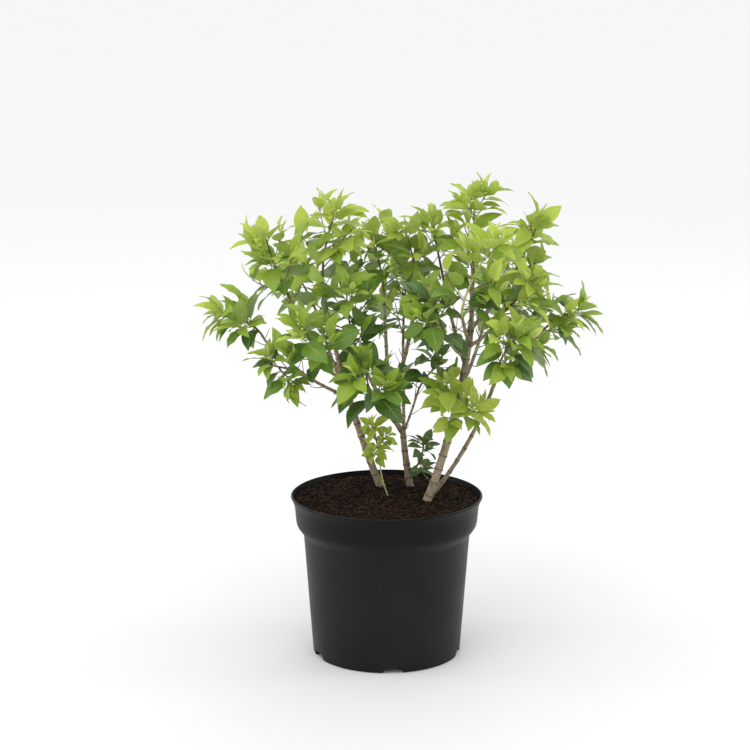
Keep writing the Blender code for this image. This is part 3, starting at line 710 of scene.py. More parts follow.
# Boughs: parent limb, share of the way along it, azimuth, slope, length, bow, base radius and tip radius
BOUGHS = {
    "bough_left_leader": ("stem_left", 1.00, 225, 75.0, 95, 3, 3.0, 2.1),
    "bough_left_upper": ("stem_left", 0.90, 155, 50.0, 110, 5, 2.6, 1.9),
    "bough_left_low": ("stem_left", 0.70, 205, 32.5, 95, 4, 2.2, 1.8),
    "bough_left_far": ("bough_left_low", 1.00, 205, 47.5, 50, 3, 1.8, 1.4),
    "bough_left_drooping": ("bough_left_low", 0.80, 250, 15.0, 65, 0, 1.6, 1.2),
    "bough_left_front": ("stem_left", 0.84, 255, 22.5, 90, 3, 2.4, 1.7),
    "bough_left_back": ("stem_left", 0.62, 115, 42.5, 135, 5, 2.6, 1.9),
    "bough_middle": ("stem_middle", 1.00, 225, 52.5, 45, 1, 3.6, 3.2),
    "bough_centre_leader": ("bough_middle", 1.00, 30, 72.5, 130, 5, 3.0, 2.3),
    "bough_centre_shoot": ("bough_middle", 0.80, 100, 72.5, 145, 3, 2.7, 1.9),
    "bough_centre_left": ("bough_middle", 0.95, 220, 57.5, 90, 3, 2.7, 1.9),
    "bough_centre_front": ("bough_middle", 0.60, 255, 25.0, 95, 2, 2.3, 1.6),
    "bough_centre_right": ("stem_middle", 0.95, 305, 62.5, 65, 1, 1.7, 1.3),
    "bough_back": ("stem_middle", 0.80, 90, 47.5, 140, 6, 2.7, 1.9),
    "bough_right_leader": ("stem_right", 1.00, 85, 70.0, 70, 2, 3.1, 2.2),
    "bough_right_front": ("stem_right", 0.90, 260, 32.5, 75, 4, 2.6, 1.8),
    "bough_right_upper": ("stem_right", 0.96, 30, 45.0, 85, 4, 2.8, 1.9),
    "bough_right_inner": ("stem_right", 0.80, 240, 32.5, 55, 3, 2.2, 1.6),
    "bough_right_mid": ("stem_right", 0.86, 315, 40.0, 65, 4, 2.6, 1.8),
    "bough_centre_top": ("stem_right", 0.76, 115, 57.5, 105, 4, 2.7, 1.9),
    "bough_right_back": ("stem_right", 0.62, 75, 22.5, 145, 6, 2.6, 1.9),
    "bough_thin_far": ("stem_thin", 1.00, 335, 45.0, 75, 3, 2.1, 1.6),
    "bough_thin_out": ("stem_thin", 0.92, 60, 25.0, 55, 2, 1.8, 1.4),
    "bough_thin_front": ("stem_thin", 0.80, 275, 35.0, 105, 4, 1.8, 1.4),
}
print("stems", len(STEMS), "boughs", len(BOUGHS))


# %% Bends and limbs
def heading(azimuth, slope):
    """The unit vector that points this way, with both angles in degrees."""
    a, s = math.radians(azimuth), math.radians(slope)
    return Vector((math.cos(s) * math.cos(a), math.cos(s) * math.sin(a), math.sin(s)))


def across(axis, turn):
    """The unit vector square to an axis, turned about it by degrees from the most upright one."""
    first = UP - axis * axis.dot(UP)
    if first.length < 0.05:
        first = Vector((1, 0, 0)) - axis * axis.x
    return (Matrix.Rotation(math.radians(turn), 3, axis) @ first).normalized()


class Curve:
    """A bend in one plane, from a start to an end with one control point."""

    def __init__(self, start, control, end):
        self.start, self.control, self.end = start, control, end

    @classmethod
    def bowed(cls, start, end, bow):
        """The bend of a limb that leaves its parent low and turns up to the light."""
        chord = (end - start).normalized()
        below = chord * chord.z - UP
        if below.length > 1e-6:
            below.normalize()
        return cls(start, (start + end) / 2 + below * 2 * bow, end)

    def at(self, share):
        rest = 1 - share
        return self.start * rest * rest + self.control * 2 * share * rest + self.end * share * share

    def along(self, share):
        """The direction of growth at a share of the way."""
        return ((self.control - self.start) * (1 - share) + (self.end - self.control) * share).normalized()

    def square(self):
        """The unit vector that stays square to the whole bend."""
        normal = (self.control - self.start).cross(self.end - self.control)
        return normal.normalized() if normal.length > 1e-9 else self.along(0).orthogonal().normalized()


class Limb:
    """A stem, bough or twig: its bend, its taper, and its number of straight lengths and of sides."""

    def __init__(self, curve, foot_radius, tip_radius, lengths, sides, level_foot=False, roll=0.0):
        self.curve, self.level_foot, self.roll = curve, level_foot, roll
        self.foot_radius, self.tip_radius = foot_radius, tip_radius
        self.lengths, self.sides = lengths, sides

    def radius(self, share):
        return self.foot_radius + (self.tip_radius - self.foot_radius) * share

    def at(self, share):
        """The point of the axis as it is built, on the straight length that this share falls in."""
        number = min(int(share * self.lengths), self.lengths - 1)
        return self.curve.at(number / self.lengths).lerp(
            self.curve.at((number + 1) / self.lengths), share * self.lengths - number
        )


def grow_limbs():
    """Every stem and bough, each from its parent's side or tip."""
    limbs = {}
    for name, ((right, back), azimuth, slope, length, bow, foot, tip) in STEMS.items():
        start = Vector((right * MM, back * MM, MIX_TOP + GAP))
        curve = Curve.bowed(start, start + heading(azimuth, slope) * length * MM, bow * MM)
        limbs[name] = Limb(curve, foot * MM, tip * MM, STEM_LENGTHS, STEM_SIDES, level_foot=True)
    for name, (parent, share, azimuth, slope, length, bow, foot, tip) in BOUGHS.items():
        start = limbs[parent].at(share)
        end = start + heading(azimuth, slope) * length * MM
        if share == 1:
            start = start - limbs[parent].curve.along(1) * foot * MM
        curve = Curve.bowed(start, end, bow * MM)
        limbs[name] = Limb(curve, foot * MM, tip * MM, BOUGH_LENGTHS, BOUGH_SIDES)
    return limbs


STEM_SIDES = 8
BOUGH_SIDES = 6
TWIG_SIDES = 3
STEM_LENGTHS = 4
BOUGH_LENGTHS = 3
MAIN_TWIG_LENGTHS = 3
SHOOT_LENGTHS = 1
limbs = grow_limbs()
print("limbs", len(limbs))

# %% [markdown]
# ## Bark
# The wood of a hydrangea is pale grey-brown with fine lengthwise cracks. Every few centimetres a swollen
# ring marks where a pair of leaves once stood. A cylinder cut into many rings is laid along each limb, and
# every corner moves in or out by the rings, the cracks, and a collar where the limb leaves its parent.

# %% Bark relief
NODE_SPACING = 17 * MM
RING_SHARE = 0.10
RING_WIDTH = 0.8 * MM
SWELLING_SHARE = 0.07
SWELLING_WIDTH = 2.5 * MM
CRACK_DEPTH = 0.12 * MM
COLLAR_SHARE = 0.06
BARK_SHRINK = 0.05
LUMP_SHARE = 0.04
DARK_RING = 0.85
DARK_RING_WIDTH = 0.75 * MM
FOOT_SINK = 7 * MM
RING_STEP = 0.8 * MM
BARK_SIDES = 16


def from_node(along, first_node):
    """How far this place is from the nearest node, where a pair of leaves once stood."""
    return abs((along + first_node + NODE_SPACING / 2) % NODE_SPACING - NODE_SPACING / 2)


def relief(limb, along, near, point):
    """How much thicker or thinner the bark is here, as a share of the limb's radius."""
    ring = RING_SHARE * math.exp(-((near / RING_WIDTH) ** 2))
    swelling = SWELLING_SHARE * math.exp(-((near / SWELLING_WIDTH) ** 2))
    collar = COLLAR_SHARE * math.exp(-max(along, 0) / (1.6 * limb.foot_radius))
    cracks = noise.noise((point.x * 420, point.y * 420, point.z * 75))
    lumps = noise.noise((point.x * 90, point.y * 90, point.z * 60))
    bumps = cracks * CRACK_DEPTH / limb.foot_radius + LUMP_SHARE * lumps
    return 1 - BARK_SHRINK + ring + swelling + collar + bumps


def barked(limb, sides, number):
    """One limb as a cylinder with bark relief. A stem's foot reaches down into the mix."""
    length = (limb.curve.end - limb.curve.start).length
    sunk = FOOT_SINK if limb.level_foot else 0.0
    rings = max(6, int((length + sunk) / RING_STEP))
    bm = bmesh.new()
    lift = Matrix.Translation((0, 0, 0.5))
    bmesh.ops.create_cone(bm, cap_ends=True, segments=sides, radius1=1, radius2=1, depth=1, matrix=lift)
    lengthwise = [e for e in bm.edges if abs(e.verts[0].co.z - e.verts[1].co.z) > 0.5]
    bmesh.ops.subdivide_edges(bm, edges=lengthwise, cuts=rings)
    side = limb.curve.square()
    first_node = NODE_SPACING * ((number * 0.37) % 1)
    dark = bm.verts.layers.float.new("ring")
    for vertex in bm.verts:
        x, y, share = vertex.co
        along = share * (length + sunk) - sunk
        reached = max(0.0, along / length)
        axis = limb.curve.along(reached)
        middle = limb.curve.at(reached) + axis * min(0.0, along)
        out = side * x + axis.cross(side) * y
        thick = limb.radius(reached)
        near = from_node(along, first_node)
        vertex.co = middle + out * thick * relief(limb, along, near, middle + out * thick)
        vertex[dark] = DARK_RING * math.exp(-((near / DARK_RING_WIDTH) ** 2))
    bmesh.ops.recalc_face_normals(bm, faces=bm.faces)
    return bm


def joined(bms):
    """One bmesh out of several."""
    whole = bmesh.new()
    for bm in bms:
        mesh = bpy.data.meshes.new("part")
        bm.to_mesh(mesh)
        bm.free()
        whole.from_mesh(mesh)
        bpy.data.meshes.remove(mesh)
    return whole


woody = [name for name in STEMS if name != "stem_low"]
stem_piece = piece("bark_stems", joined(barked(limbs[n], BARK_SIDES, i) for i, n in enumerate(woody)), bark, "bark", woody)
bough_piece = piece("bark_boughs", joined(barked(limbs[n], 10, i) for i, n in enumerate(BOUGHS)), bark, "bark", list(BOUGHS))
for wood in (stem_piece, bough_piece):
    smooth(wood.data, 60)

# %% [markdown]
# ## How the foliage grows
# Each bough ends in a mass of foliage, and every mass grows by one rule. A main twig carries on from the
# bough. Shoots leave it a golden angle apart and turn up. Leaves stand in crossed pairs along each twig,
# and a whorl of young ones stands at its tip. The solids stop there; here the shoots also bear sprigs.

# %% Foliage sizes
# Masses: the limb that bears each one, the share along it, the azimuth, slope and length of its main twig,
# the reach of its shoots, and their number
MASSES = {
    "foliage_top_left": ("bough_left_leader", 1.00, 310, 75.0, 95, 50, 6),
    "foliage_left_upper": ("bough_left_upper", 1.00, 210, 67.5, 80, 48, 6),
    "foliage_left_far": ("bough_left_far", 1.00, 180, 25.0, 50, 32, 5),
    "foliage_left_drooping": ("bough_left_drooping", 1.00, 330, -40.0, 25, 16, 2),
    "foliage_left_front": ("bough_left_front", 1.00, 245, 45.0, 70, 48, 5),
    "foliage_left_back": ("bough_left_back", 1.00, 130, 47.5, 80, 52, 6),
    "foliage_centre_top": ("bough_centre_leader", 1.00, 235, 77.5, 85, 46, 6),
    "foliage_centre_back": ("bough_centre_shoot", 1.00, 150, 75.0, 70, 48, 6),
    "foliage_centre_left": ("bough_centre_left", 1.00, 245, 70.0, 80, 46, 6),
    "foliage_centre_front": ("bough_centre_front", 1.00, 255, 45.0, 60, 44, 5),
    "foliage_centre_right": ("bough_centre_right", 1.00, 320, 50.0, 45, 34, 3),
    "foliage_back": ("bough_back", 1.00, 85, 55.0, 85, 52, 6),
    "foliage_right_top": ("bough_right_leader", 1.00, 275, 85.0, 80, 44, 6),
    "foliage_right_front": ("bough_right_front", 1.00, 355, 67.5, 95, 46, 5),
    "foliage_right_upper": ("bough_right_upper", 1.00, 345, 65.0, 70, 22, 3),
    "foliage_right_inner": ("bough_right_inner", 1.00, 215, 65.0, 55, 44, 5),
    "foliage_right_mid": ("bough_right_mid", 1.00, 330, 42.5, 55, 40, 5),
    "foliage_centre_upper": ("bough_centre_top", 1.00, 195, 77.5, 75, 42, 5),
    "foliage_right_back": ("bough_right_back", 1.00, 55, 50.0, 95, 50, 6),
    "foliage_far_right": ("bough_thin_far", 1.00, 355, 32.5, 55, 26, 4),
    "foliage_right_out": ("bough_thin_out", 1.00, 40, 42.5, 50, 32, 4),
    "foliage_right_low": ("bough_thin_front", 1.00, 300, 50.0, 50, 34, 5),
    "foliage_low_shoot": ("stem_low", 1.00, 225, 72.5, 50, 18, 4),
    "foliage_middle_side": ("stem_middle", 0.30, 310, 52.5, 50, 16, 2),
    "foliage_right_side_left": ("stem_right", 0.58, 240, 12.5, 40, 26, 2),
    "foliage_right_side_front": ("stem_right", 0.48, 295, 22.5, 50, 26, 3),
}

MAIN_TWIG_RADIUS = 1.8 * MM
MAIN_TWIG_TIP_RADIUS = 0.8 * MM
SHOOT_RADIUS_SHARE = 0.55
SHOOT_TIP_RADIUS = 0.5 * MM
GOLDEN_ANGLE = 137.5
CLEARANCE = 0.6 * MM
SEED = 11
FIRST_SHOOT = 0.12
SHOOTS_SPREAD = 0.68
SHOOT_LEAN = 64
SHOOT_LEAN_DROP = 22
SHOOT_TAPER = 0.6
SHOOT_RISE = 0.2
LOWEST_SHOOT_RISE = -0.05
SWINGS = (0, 35, -35, 70, -70)
SPACE_SHARE = 0.5
SPACE_TAPER = 0.45
SPACE_FOR_LEAF = 0.55
SOLID_LEAF_LENGTH = 49 * MM
print("masses", len(MASSES), "shoots", sum(sizes[-1] for sizes in MASSES.values()))


# %% Leaves on a twig
LEAF_LENGTH = 45 * MM
LEAF_SIZES = {  # the low side shoots bear smaller leaves
    "foliage_low_shoot": 0.52,
    "foliage_middle_side": 0.62,
    "foliage_right_side_left": 0.85,
    "foliage_right_side_front": 0.85,
    "foliage_left_drooping": 0.85,
    "foliage_centre_right": 0.9,
}
CROWN_AXIS = Vector((20 * MM, 20 * MM, 0))
CROWN_MIDDLE = Vector((20 * MM, 20 * MM, 400 * MM))
CROWN_REACH = Vector((225 * MM, 180 * MM, 185 * MM))
LIGHT_PULL = 1.0
TWIG_PULL = 0.3
FACE_CHANCE = 0.5
STEEPEST_LEAF = -0.55
CLEAR_FROM = 0.3


class Leaf:
    """One leaf: its base on the twig's axis, where it points and faces, its length and its habit."""

    def __init__(self, base, way, face, length, habit, order):
        self.base, self.way, self.face = base, way, face
        self.length, self.habit, self.order = length, habit, order

    def corners(self, from_share):
        """The corners of a folded four-sided sheet, which stands for the leaf when room is looked for."""
        side = self.face.cross(self.way) * self.length * HABITS[self.habit][0] / 2
        start = self.base + self.way * self.length * from_share
        widest = self.base + self.way * self.length * 0.5
        return [start, widest + side, self.base + self.way * self.length, widest - side]


HABITS = {  # width share, fold, bow, tip drop
    "whorl": (0.32, 0.60, 0.05, 0.02),
    "young": (0.42, 0.34, 0.05, 0.06),
    "grown": (0.51, 0.20, 0.06, 0.09),
}


def leaf_on(twig, share, turn, lean, droop, length, habit, order, chance):
    """A leaf that leaves a twig at an angle, sinks by droop, and turns its face up and outwards."""
    axis, base = twig.curve.along(share), twig.curve.at(share)
    out = across(axis, turn)
    way = axis * math.cos(math.radians(lean)) + out * math.sin(math.radians(lean))
    way -= UP * droop
    way.z = max(way.z, STEEPEST_LEAF)
    way.normalize()
    outward = base - CROWN_AXIS
    outward.z = 0
    light = UP * LIGHT_PULL + axis * TWIG_PULL + outward.normalized() * chance.uniform(0.2, 1)
    light += Vector([chance.uniform(-FACE_CHANCE, FACE_CHANCE) for _ in range(3)])
    face = (light - way * light.dot(way)).normalized()
    return Leaf(base, way, face, length, habit, order)


# %% A mass of foliage
class Mass:
    """The foliage that one limb carries: a main twig, its shoots, and the leaves on them."""

    def __init__(self, name, limb, share, azimuth, slope, length, reach, shoots, seed):
        self.name, self.reach, self.shoots = name, reach * MM, shoots
        self.chance = random.Random(seed)
        foot, grown = limb.curve.at(share), limb.curve.along(share)
        end = foot + heading(azimuth, slope) * length * MM
        if share == 1:
            start = foot + grown * GAP
        else:
            sideways = end - foot
            grown = (sideways - grown * sideways.dot(grown)).normalized()
            start = foot + grown * (limb.radius(share) + GAP)
        radius = min(MAIN_TWIG_RADIUS, limb.tip_radius)
        control = start + grown * (end - start).length * 0.4
        curve = Curve(start, control, end)
        self.main = Limb(curve, radius, MAIN_TWIG_TIP_RADIUS, MAIN_TWIG_LENGTHS, TWIG_SIDES)
        self.twigs = [self.main]
        self.leaves = []
        self.leaf_length = LEAF_LENGTH * LEAF_SIZES.get(name, 1)
        self.first_turn = self.chance.uniform(0, 360)

    def distance(self, point):
        """How far a point is from the main twig, as a share of the space that the mass may fill."""
        start, end = self.main.curve.start, self.main.curve.end
        chord = end - start
        share = max(0.0, min(1.0, (point - start).dot(chord) / chord.length_squared))
        space = self.reach * SPACE_SHARE * (1 - SPACE_TAPER * share) + SOLID_LEAF_LENGTH * SPACE_FOR_LEAF
        return (point - start - chord * share).length / space

    def shoot(self, number, swing):
        """One side shoot, which leaves the main twig a golden angle on from the last and turns upwards."""
        share = FIRST_SHOOT + SHOOTS_SPREAD * number / max(1, self.shoots - 1)
        axis = self.main.curve.along(share)
        lean = math.radians(SHOOT_LEAN - SHOOT_LEAN_DROP * share)
        out = across(axis, self.first_turn + GOLDEN_ANGLE * number + swing)
        way = axis * math.cos(lean) + out * math.sin(lean)
        way.z = max(way.z, LOWEST_SHOOT_RISE)
        way.normalize()
        length = self.reach * (1.02 - SHOOT_TAPER * share) * self.chance.uniform(0.85, 1.08)
        start = self.main.at(share)
        curve = Curve(start, start + way * length * 0.55, start + (way + UP * SHOOT_RISE) * length)
        radius = self.main.radius(share) * SHOOT_RADIUS_SHARE
        return Limb(curve, radius, SHOOT_TIP_RADIUS, SHOOT_LENGTHS, TWIG_SIDES, roll=0.3 + 0.5 * number)

    def pairs(self, twig, shares, turn, size=1.0):
        """Crossed pairs of leaves along a twig. Each pair is a quarter turn on from the last."""
        for number, share in enumerate(shares):
            for half_turn in (0, 180):
                yield leaf_on(
                    twig,
                    share,
                    turn + 90 * number + half_turn + self.chance.uniform(-16, 16),
                    self.chance.uniform(50, 80),
                    self.chance.uniform(0.0, 0.9) * (1.2 - share),
                    self.leaf_length * size * self.chance.uniform(0.72, 1.12) * (1.08 - 0.24 * share),
                    "young" if share > 0.8 else "grown",
                    len(shares) - number,
                    self.chance,
                )

    def whorl(self, twig, turn, inner, size=1.0):
        """The young leaves at a twig's tip: three that open, and inside them a few that still stand up."""
        for number in range(3):
            yield leaf_on(
                twig, 0.96, turn + 120 * number + self.chance.uniform(-14, 14), self.chance.uniform(34, 64),
                0.0, self.leaf_length * size * self.chance.uniform(0.6, 0.92), "young", 0.5, self.chance,
            )
        for number in range(inner):
            yield leaf_on(
                twig, 0.99, turn + 60 + 360 * number / inner, self.chance.uniform(8, 24),
                0.0, self.leaf_length * size * self.chance.uniform(0.38, 0.62), "whorl", 0, self.chance,
            )

    def sprig(self, twig, share, turn):
        """A finer twig from a leaf's foot, a third as long as the shoots' reach."""
        axis = twig.curve.along(share)
        way = (axis + across(axis, turn) * 1.1 + UP * 0.25).normalized()
        length = self.reach * self.chance.uniform(0.28, 0.42)
        start = twig.curve.at(share)
        curve = Curve(start, start + way * length * 0.5, start + (way + UP * 0.3) * length)
        return Limb(curve, twig.radius(share) * 0.7, 0.5 * MM, 1, TWIG_SIDES)


# %% Room for what grows
class Room:
    """The sheets and bars placed so far. It says whether another one would cut through them."""

    def __init__(self):
        self.owners, self.trees, self.count = [], [], 0
        self.centres, self.reaches = np.zeros((9000, 3)), np.zeros(9000)

    def add(self, owner, points, faces):
        self.centres[self.count], self.reaches[self.count] = ball(points)
        self.owners.append(owner)
        self.trees.append(BVHTree.FromPolygons(points, faces))
        self.count += 1

    def clear(self, points, faces, but=None):
        """Whether a shape touches nothing, or nothing but one owner's."""
        centre, reach = ball(points)
        apart = np.linalg.norm(self.centres[: self.count] - centre, axis=1)
        near = np.nonzero(apart < self.reaches[: self.count] + reach)[0]
        tree = BVHTree.FromPolygons(points, faces)
        return not any(self.owners[n] != but and tree.overlap(self.trees[n]) for n in near)


def ball(points):
    """The middle of some points, and how far they reach from it."""
    places = np.array(points)
    centre = places.mean(axis=0)
    return centre, np.linalg.norm(places - centre, axis=1).max()


SHEET = [(0, 1, 2), (0, 2, 3)]


def bar(limb, grow=0.0):
    """A plain bar along a limb, in straight lengths, as in the solids."""
    side = limb.curve.square()
    points, faces = [], []
    for ring in range(limb.lengths + 1):
        share = ring / limb.lengths
        axis = UP if limb.level_foot and ring == 0 else limb.curve.along(share)
        over = grow * (ring == limb.lengths) - grow * (ring == 0)
        for corner in range(limb.sides):
            angle = math.tau * corner / limb.sides + limb.roll
            out = side * math.cos(angle) + axis.cross(side) * math.sin(angle)
            points.append(limb.curve.at(share) + axis * over + out * (limb.radius(share) + grow))
    for ring in range(limb.lengths):
        for corner in range(limb.sides):
            first, second = ring * limb.sides + corner, ring * limb.sides + (corner + 1) % limb.sides
            faces.append((first, second, second + limb.sides, first + limb.sides))
    faces.append(tuple(range(limb.sides)))
    faces.append(tuple(range(limb.lengths * limb.sides, (limb.lengths + 1) * limb.sides)))
    return points, faces


# %% Shoots with a look of their own, and painted light on the tops
LOW_SHOOTS = ("foliage_low_shoot", "foliage_right_side_left", "foliage_right_side_front")
LOW_SHOOTS_PALER = 2.2
COOL_SHOOTS = ("foliage_middle_side",)
BLUISH_SHARE = 0.16
# Leaves above this height are painted lighter, as light falling on the top of the crown.
TOPS_FROM = 440 * MM
TOPS_PAINTED_LIGHTER = 13

# %% Grow the foliage
MAIN_PAIRS = (0.24, 0.44, 0.62, 0.80)
SHOOT_PAIRS = (0.28, 0.52, 0.76)
SPRIG_SHARES = (0.5,)
OWN_SPACE = 0.9  # how far out a leaf may stand, as a share of its mass's space
NEARER_BY = 0.12  # a leaf this much nearer to another mass is left out, so gaps stay open between them


def grow_twigs(masses, room):
    """All main twigs, then all shoots, then the sprigs, so that none crowds out another."""
    for mass in masses:
        room.add(mass.name, *bar(mass.main))
    for mass in masses:
        for number in range(mass.shoots):
            for swing in SWINGS:
                twig = mass.shoot(number, swing)
                if room.clear(*bar(twig, CLEARANCE), but=mass.name):
                    mass.twigs.append(twig)
                    room.add(mass.name, *bar(twig))
                    break
    for mass in masses:
        mass.sprigs = []
        for number, twig in enumerate(mass.twigs[1:]):
            for rank, share in enumerate(SPRIG_SHARES):
                sprig = mass.sprig(twig, share, mass.first_turn + 77 * number + 90 + 180 * rank)
                if mass.distance(sprig.curve.end) < 1.1 and room.clear(*bar(sprig, CLEARANCE), but=mass.name):
                    mass.sprigs.append(sprig)
                    room.add(mass.name, *bar(sprig))


def wanted_leaves(masses):
    """Every leaf that the rule asks for, tips first."""
    wanted = []
    for mass in masses:
        for number, twig in enumerate(mass.twigs):
            turn = mass.first_turn + 77 * number
            leaves = list(mass.whorl(twig, turn, 2 if number else 3))
            leaves += mass.pairs(twig, SHOOT_PAIRS if number else MAIN_PAIRS, turn)
            wanted += [(leaf.order, number, mass, leaf) for leaf in leaves]
        for number, twig in enumerate(mass.sprigs):
            turn = mass.first_turn + 53 * number
            leaves = list(mass.whorl(twig, turn, 0, 0.9)) + list(mass.pairs(twig, (0.55,), turn, 0.8))
            wanted += [(leaf.order + 0.7, number, mass, leaf) for leaf in leaves]
    return sorted(wanted, key=lambda item: item[:2])


def grow_leaves(masses, room):
    for _, _, mass, leaf in wanted_leaves(masses):
        middle = leaf.base + leaf.way * leaf.length / 2
        own = mass.distance(middle)
        nearer = any(other.distance(middle) < own - NEARER_BY for other in masses if other is not mass)
        if own > OWN_SPACE or nearer:
            continue
        if not room.clear(leaf.corners(CLEAR_FROM), SHEET):
            continue
        leaf.low = mass.name in LOW_SHOOTS
        leaf.cool = mass.name in COOL_SHOOTS
        mass.leaves.append(leaf)
        room.add(mass.name, leaf.corners(0.0), SHEET)


def spur(limb, share, way, length, radius):
    """A thin bare twig: it leaves the limb one way and bends up a little."""
    start = limb.curve.at(share)
    end = start + (way + UP * 0.35) * length
    return Limb(Curve(start, start + way * length * 0.5, end), radius, radius * 0.5, 1, 3)


def bare_spurs(room):
    """Short dry twigs on the boughs, the fork at the top of the leader, and the dry tangle on the right."""
    chance = random.Random(31)
    found = []
    for name in BOUGHS:
        limb = limbs[name]
        for number in range(SPURS_ON_BOUGH):
            share = (number + chance.uniform(0.3, 0.9)) / SPURS_ON_BOUGH
            axis = limb.curve.along(share)
            way = (axis * chance.uniform(0.3, 1.1) + across(axis, chance.uniform(0, 360))).normalized()
            twig = spur(limb, share, way, chance.uniform(9, 26) * MM, chance.uniform(0.5, 0.8) * MM)
            start = twig.curve.start
            twig.curve.start = start + way * limb.foot_radius
            free = room.clear(*bar(twig, CLEARANCE), but=name)
            twig.curve.start = start
            if free:
                found.append(twig)
    for right, back, up, length, radius in LEADER_ARMS:
        way = Vector((right, back, up)).normalized()
        found.append(spur(limbs["bough_centre_leader"], 0.97, way, length * MM, radius * MM))
    for _ in range(TANGLE_TWIGS):
        way = Vector([chance.gauss(0, 1) for _ in range(3)]).normalized()
        share = TANGLE_SHARE + chance.uniform(-0.06, 0.06)
        found.append(spur(limbs[TANGLE_LIMB], share, way, chance.uniform(8, 20) * MM, chance.uniform(0.4, 0.6) * MM))
    return found


SPURS_ON_BOUGH = 4
LEADER_ARMS = ((-0.85, -0.3, 0.55, 27, 1.7), (0.55, -0.2, 0.6, 16, 1.5))
TANGLE_LIMB = "bough_right_leader"
TANGLE_SHARE = 0.35
TANGLE_TWIGS = 12

room = Room()
for name, limb in limbs.items():
    room.add(name, *bar(limb, GAP * 0.9))
spurs = bare_spurs(room)
masses = []
for number, (name, (limb, *sizes)) in enumerate(MASSES.items()):
    masses.append(Mass(name, limbs[limb], *sizes, seed=SEED + number))
grow_twigs(masses, room)
grow_leaves(masses, room)
print("twigs", sum(len(m.twigs) for m in masses), "sprigs", sum(len(m.sprigs) for m in masses))
print("leaves", {m.name: len(m.leaves) for m in masses}, sum(len(m.leaves) for m in masses))

# %% [markdown]
# ## Twigs
# The older end of a twig is brown and the younger end green, so main twigs are wood and shoots are green.
# A tube of a few sides is bent along every twig at once, with the bend worked out on arrays.


# %% Twig meshes
def rods(name, twigs, sides, rings, finish, nodes, sunk=0.0, slot="foliage"):
    """One mesh of tubes along twigs. Each tube starts a little inside what bears it."""
    bm = bmesh.new()
    lift = Matrix.Translation((0, 0, 0.5))
    bmesh.ops.create_cone(bm, cap_ends=True, segments=sides, radius1=1, radius2=1, depth=1, matrix=lift)
    lengthwise = [e for e in bm.edges if abs(e.verts[0].co.z - e.verts[1].co.z) > 0.5]
    bmesh.ops.subdivide_edges(bm, edges=lengthwise, cuts=rings)
    bmesh.ops.recalc_face_normals(bm, faces=bm.faces)
    points, faces = template_of(bm)
    start, control, end = (
        np.array([getattr(twig.curve, corner) for twig in twigs])[:, None, :] for corner in ("start", "control", "end")
    )
    first = control - start
    start = start - first / np.linalg.norm(first, axis=2, keepdims=True) * sunk
    share = points[None, :, 2:3]
    middle = start * (1 - share) ** 2 + control * 2 * share * (1 - share) + end * share**2
    axis = (control - start) * (1 - share) + (end - control) * share
    axis /= np.linalg.norm(axis, axis=2, keepdims=True)
    side = np.array([twig.curve.square() for twig in twigs])[:, None, :]
    foot = np.array([twig.foot_radius for twig in twigs])[:, None, None]
    tip = np.array([twig.tip_radius for twig in twigs])[:, None, None]
    radius = foot + (tip - foot) * share
    out = side * points[None, :, 0:1] + np.cross(axis, side) * points[None, :, 1:2]
    mesh = joined_mesh(name, middle + out * radius, faces)
    mesh.shade_smooth()
    return piece_from_mesh(name, mesh, finish, slot, nodes)


foliage_nodes = list(MASSES)
PALE_STALK = "foliage_right_front"
YOUNG_FROM = 470 * MM
main_twigs = {"old": [], "young": [], "pale": []}
for mass in masses:
    age = "pale" if mass.name == PALE_STALK else "young" if mass.main.curve.end.z > YOUNG_FROM else "old"
    main_twigs[age].append(mass.main)
rods("main_twigs_old", main_twigs["old"], 8, 14, twig_wood, foliage_nodes, 3 * MM)
rods("main_twigs_young", main_twigs["young"], 8, 14, young_wood, foliage_nodes, 3 * MM)
rods("front_stalk", main_twigs["pale"], 8, 14, pale_shoot, foliage_nodes, 3 * MM)
low_stalk = Limb(limbs["stem_low"].curve, 0.9 * MM, 0.8 * MM, 1, 3)
rods("low_stalk", [low_stalk], 8, 14, pale_shoot, ["stem_low"], 5 * MM, "bark")
rods("bare_spurs", spurs, 5, 6, twig_wood, foliage_nodes, 1 * MM)
rods("side_shoots", [twig for m in masses for twig in m.twigs[1:]], 6, 8, young_wood, foliage_nodes)
rods("green_sprigs", [twig for m in masses for twig in m.sprigs], 5, 6, green_shoot, foliage_nodes)

# %% [markdown]
# ## Leaves
# A hydrangea's leaf is an oval with a drawn-out tip, fine teeth, and a blade that folds along its rib. One
# grid gives its rows; the edges along its margin are cut once more, and the new corners become the teeth.
# Every leaf then has its own width, fold, bow and twist, all worked out on arrays.

# %% Leaf template
LEAF_ROWS = 12
LEAF_COLUMNS = 4
TOOTH = 0.05  # of the half width
TOOTH_FORWARD = 0.35 / LEAF_ROWS
BASE_ROUNDING = 0.66
TIP_DRAWN_OUT = 1.04
STALK_SHARE = 0.13


def half_width(along):
    """The outline of a blade: 1 where it is widest, 0 at its base and tip."""
    widest = BASE_ROUNDING / (BASE_ROUNDING + TIP_DRAWN_OUT)
    most = widest**BASE_ROUNDING * (1 - widest) ** TIP_DRAWN_OUT
    return along**BASE_ROUNDING * (1 - along) ** TIP_DRAWN_OUT / most


def blade_template():
    """The place of every corner on a flat blade, as (along, across), and the faces."""
    bm = bmesh.new()
    bmesh.ops.create_grid(bm, x_segments=LEAF_ROWS, y_segments=LEAF_COLUMNS, size=1)
    margin = [e for e in bm.edges if all(abs(v.co.y) > 0.99 for v in e.verts)]
    cut = bmesh.ops.subdivide_edges(bm, edges=margin, cuts=1)
    for tooth in (v for v in cut["geom_inner"] if isinstance(v, bmesh.types.BMVert)):
        tooth.co.x += 2 * TOOTH_FORWARD
        tooth.co.y *= 1 + TOOTH
    points, faces = template_of(bm)
    return np.column_stack([(points[:, 0] + 1) / 2, points[:, 1]]), faces


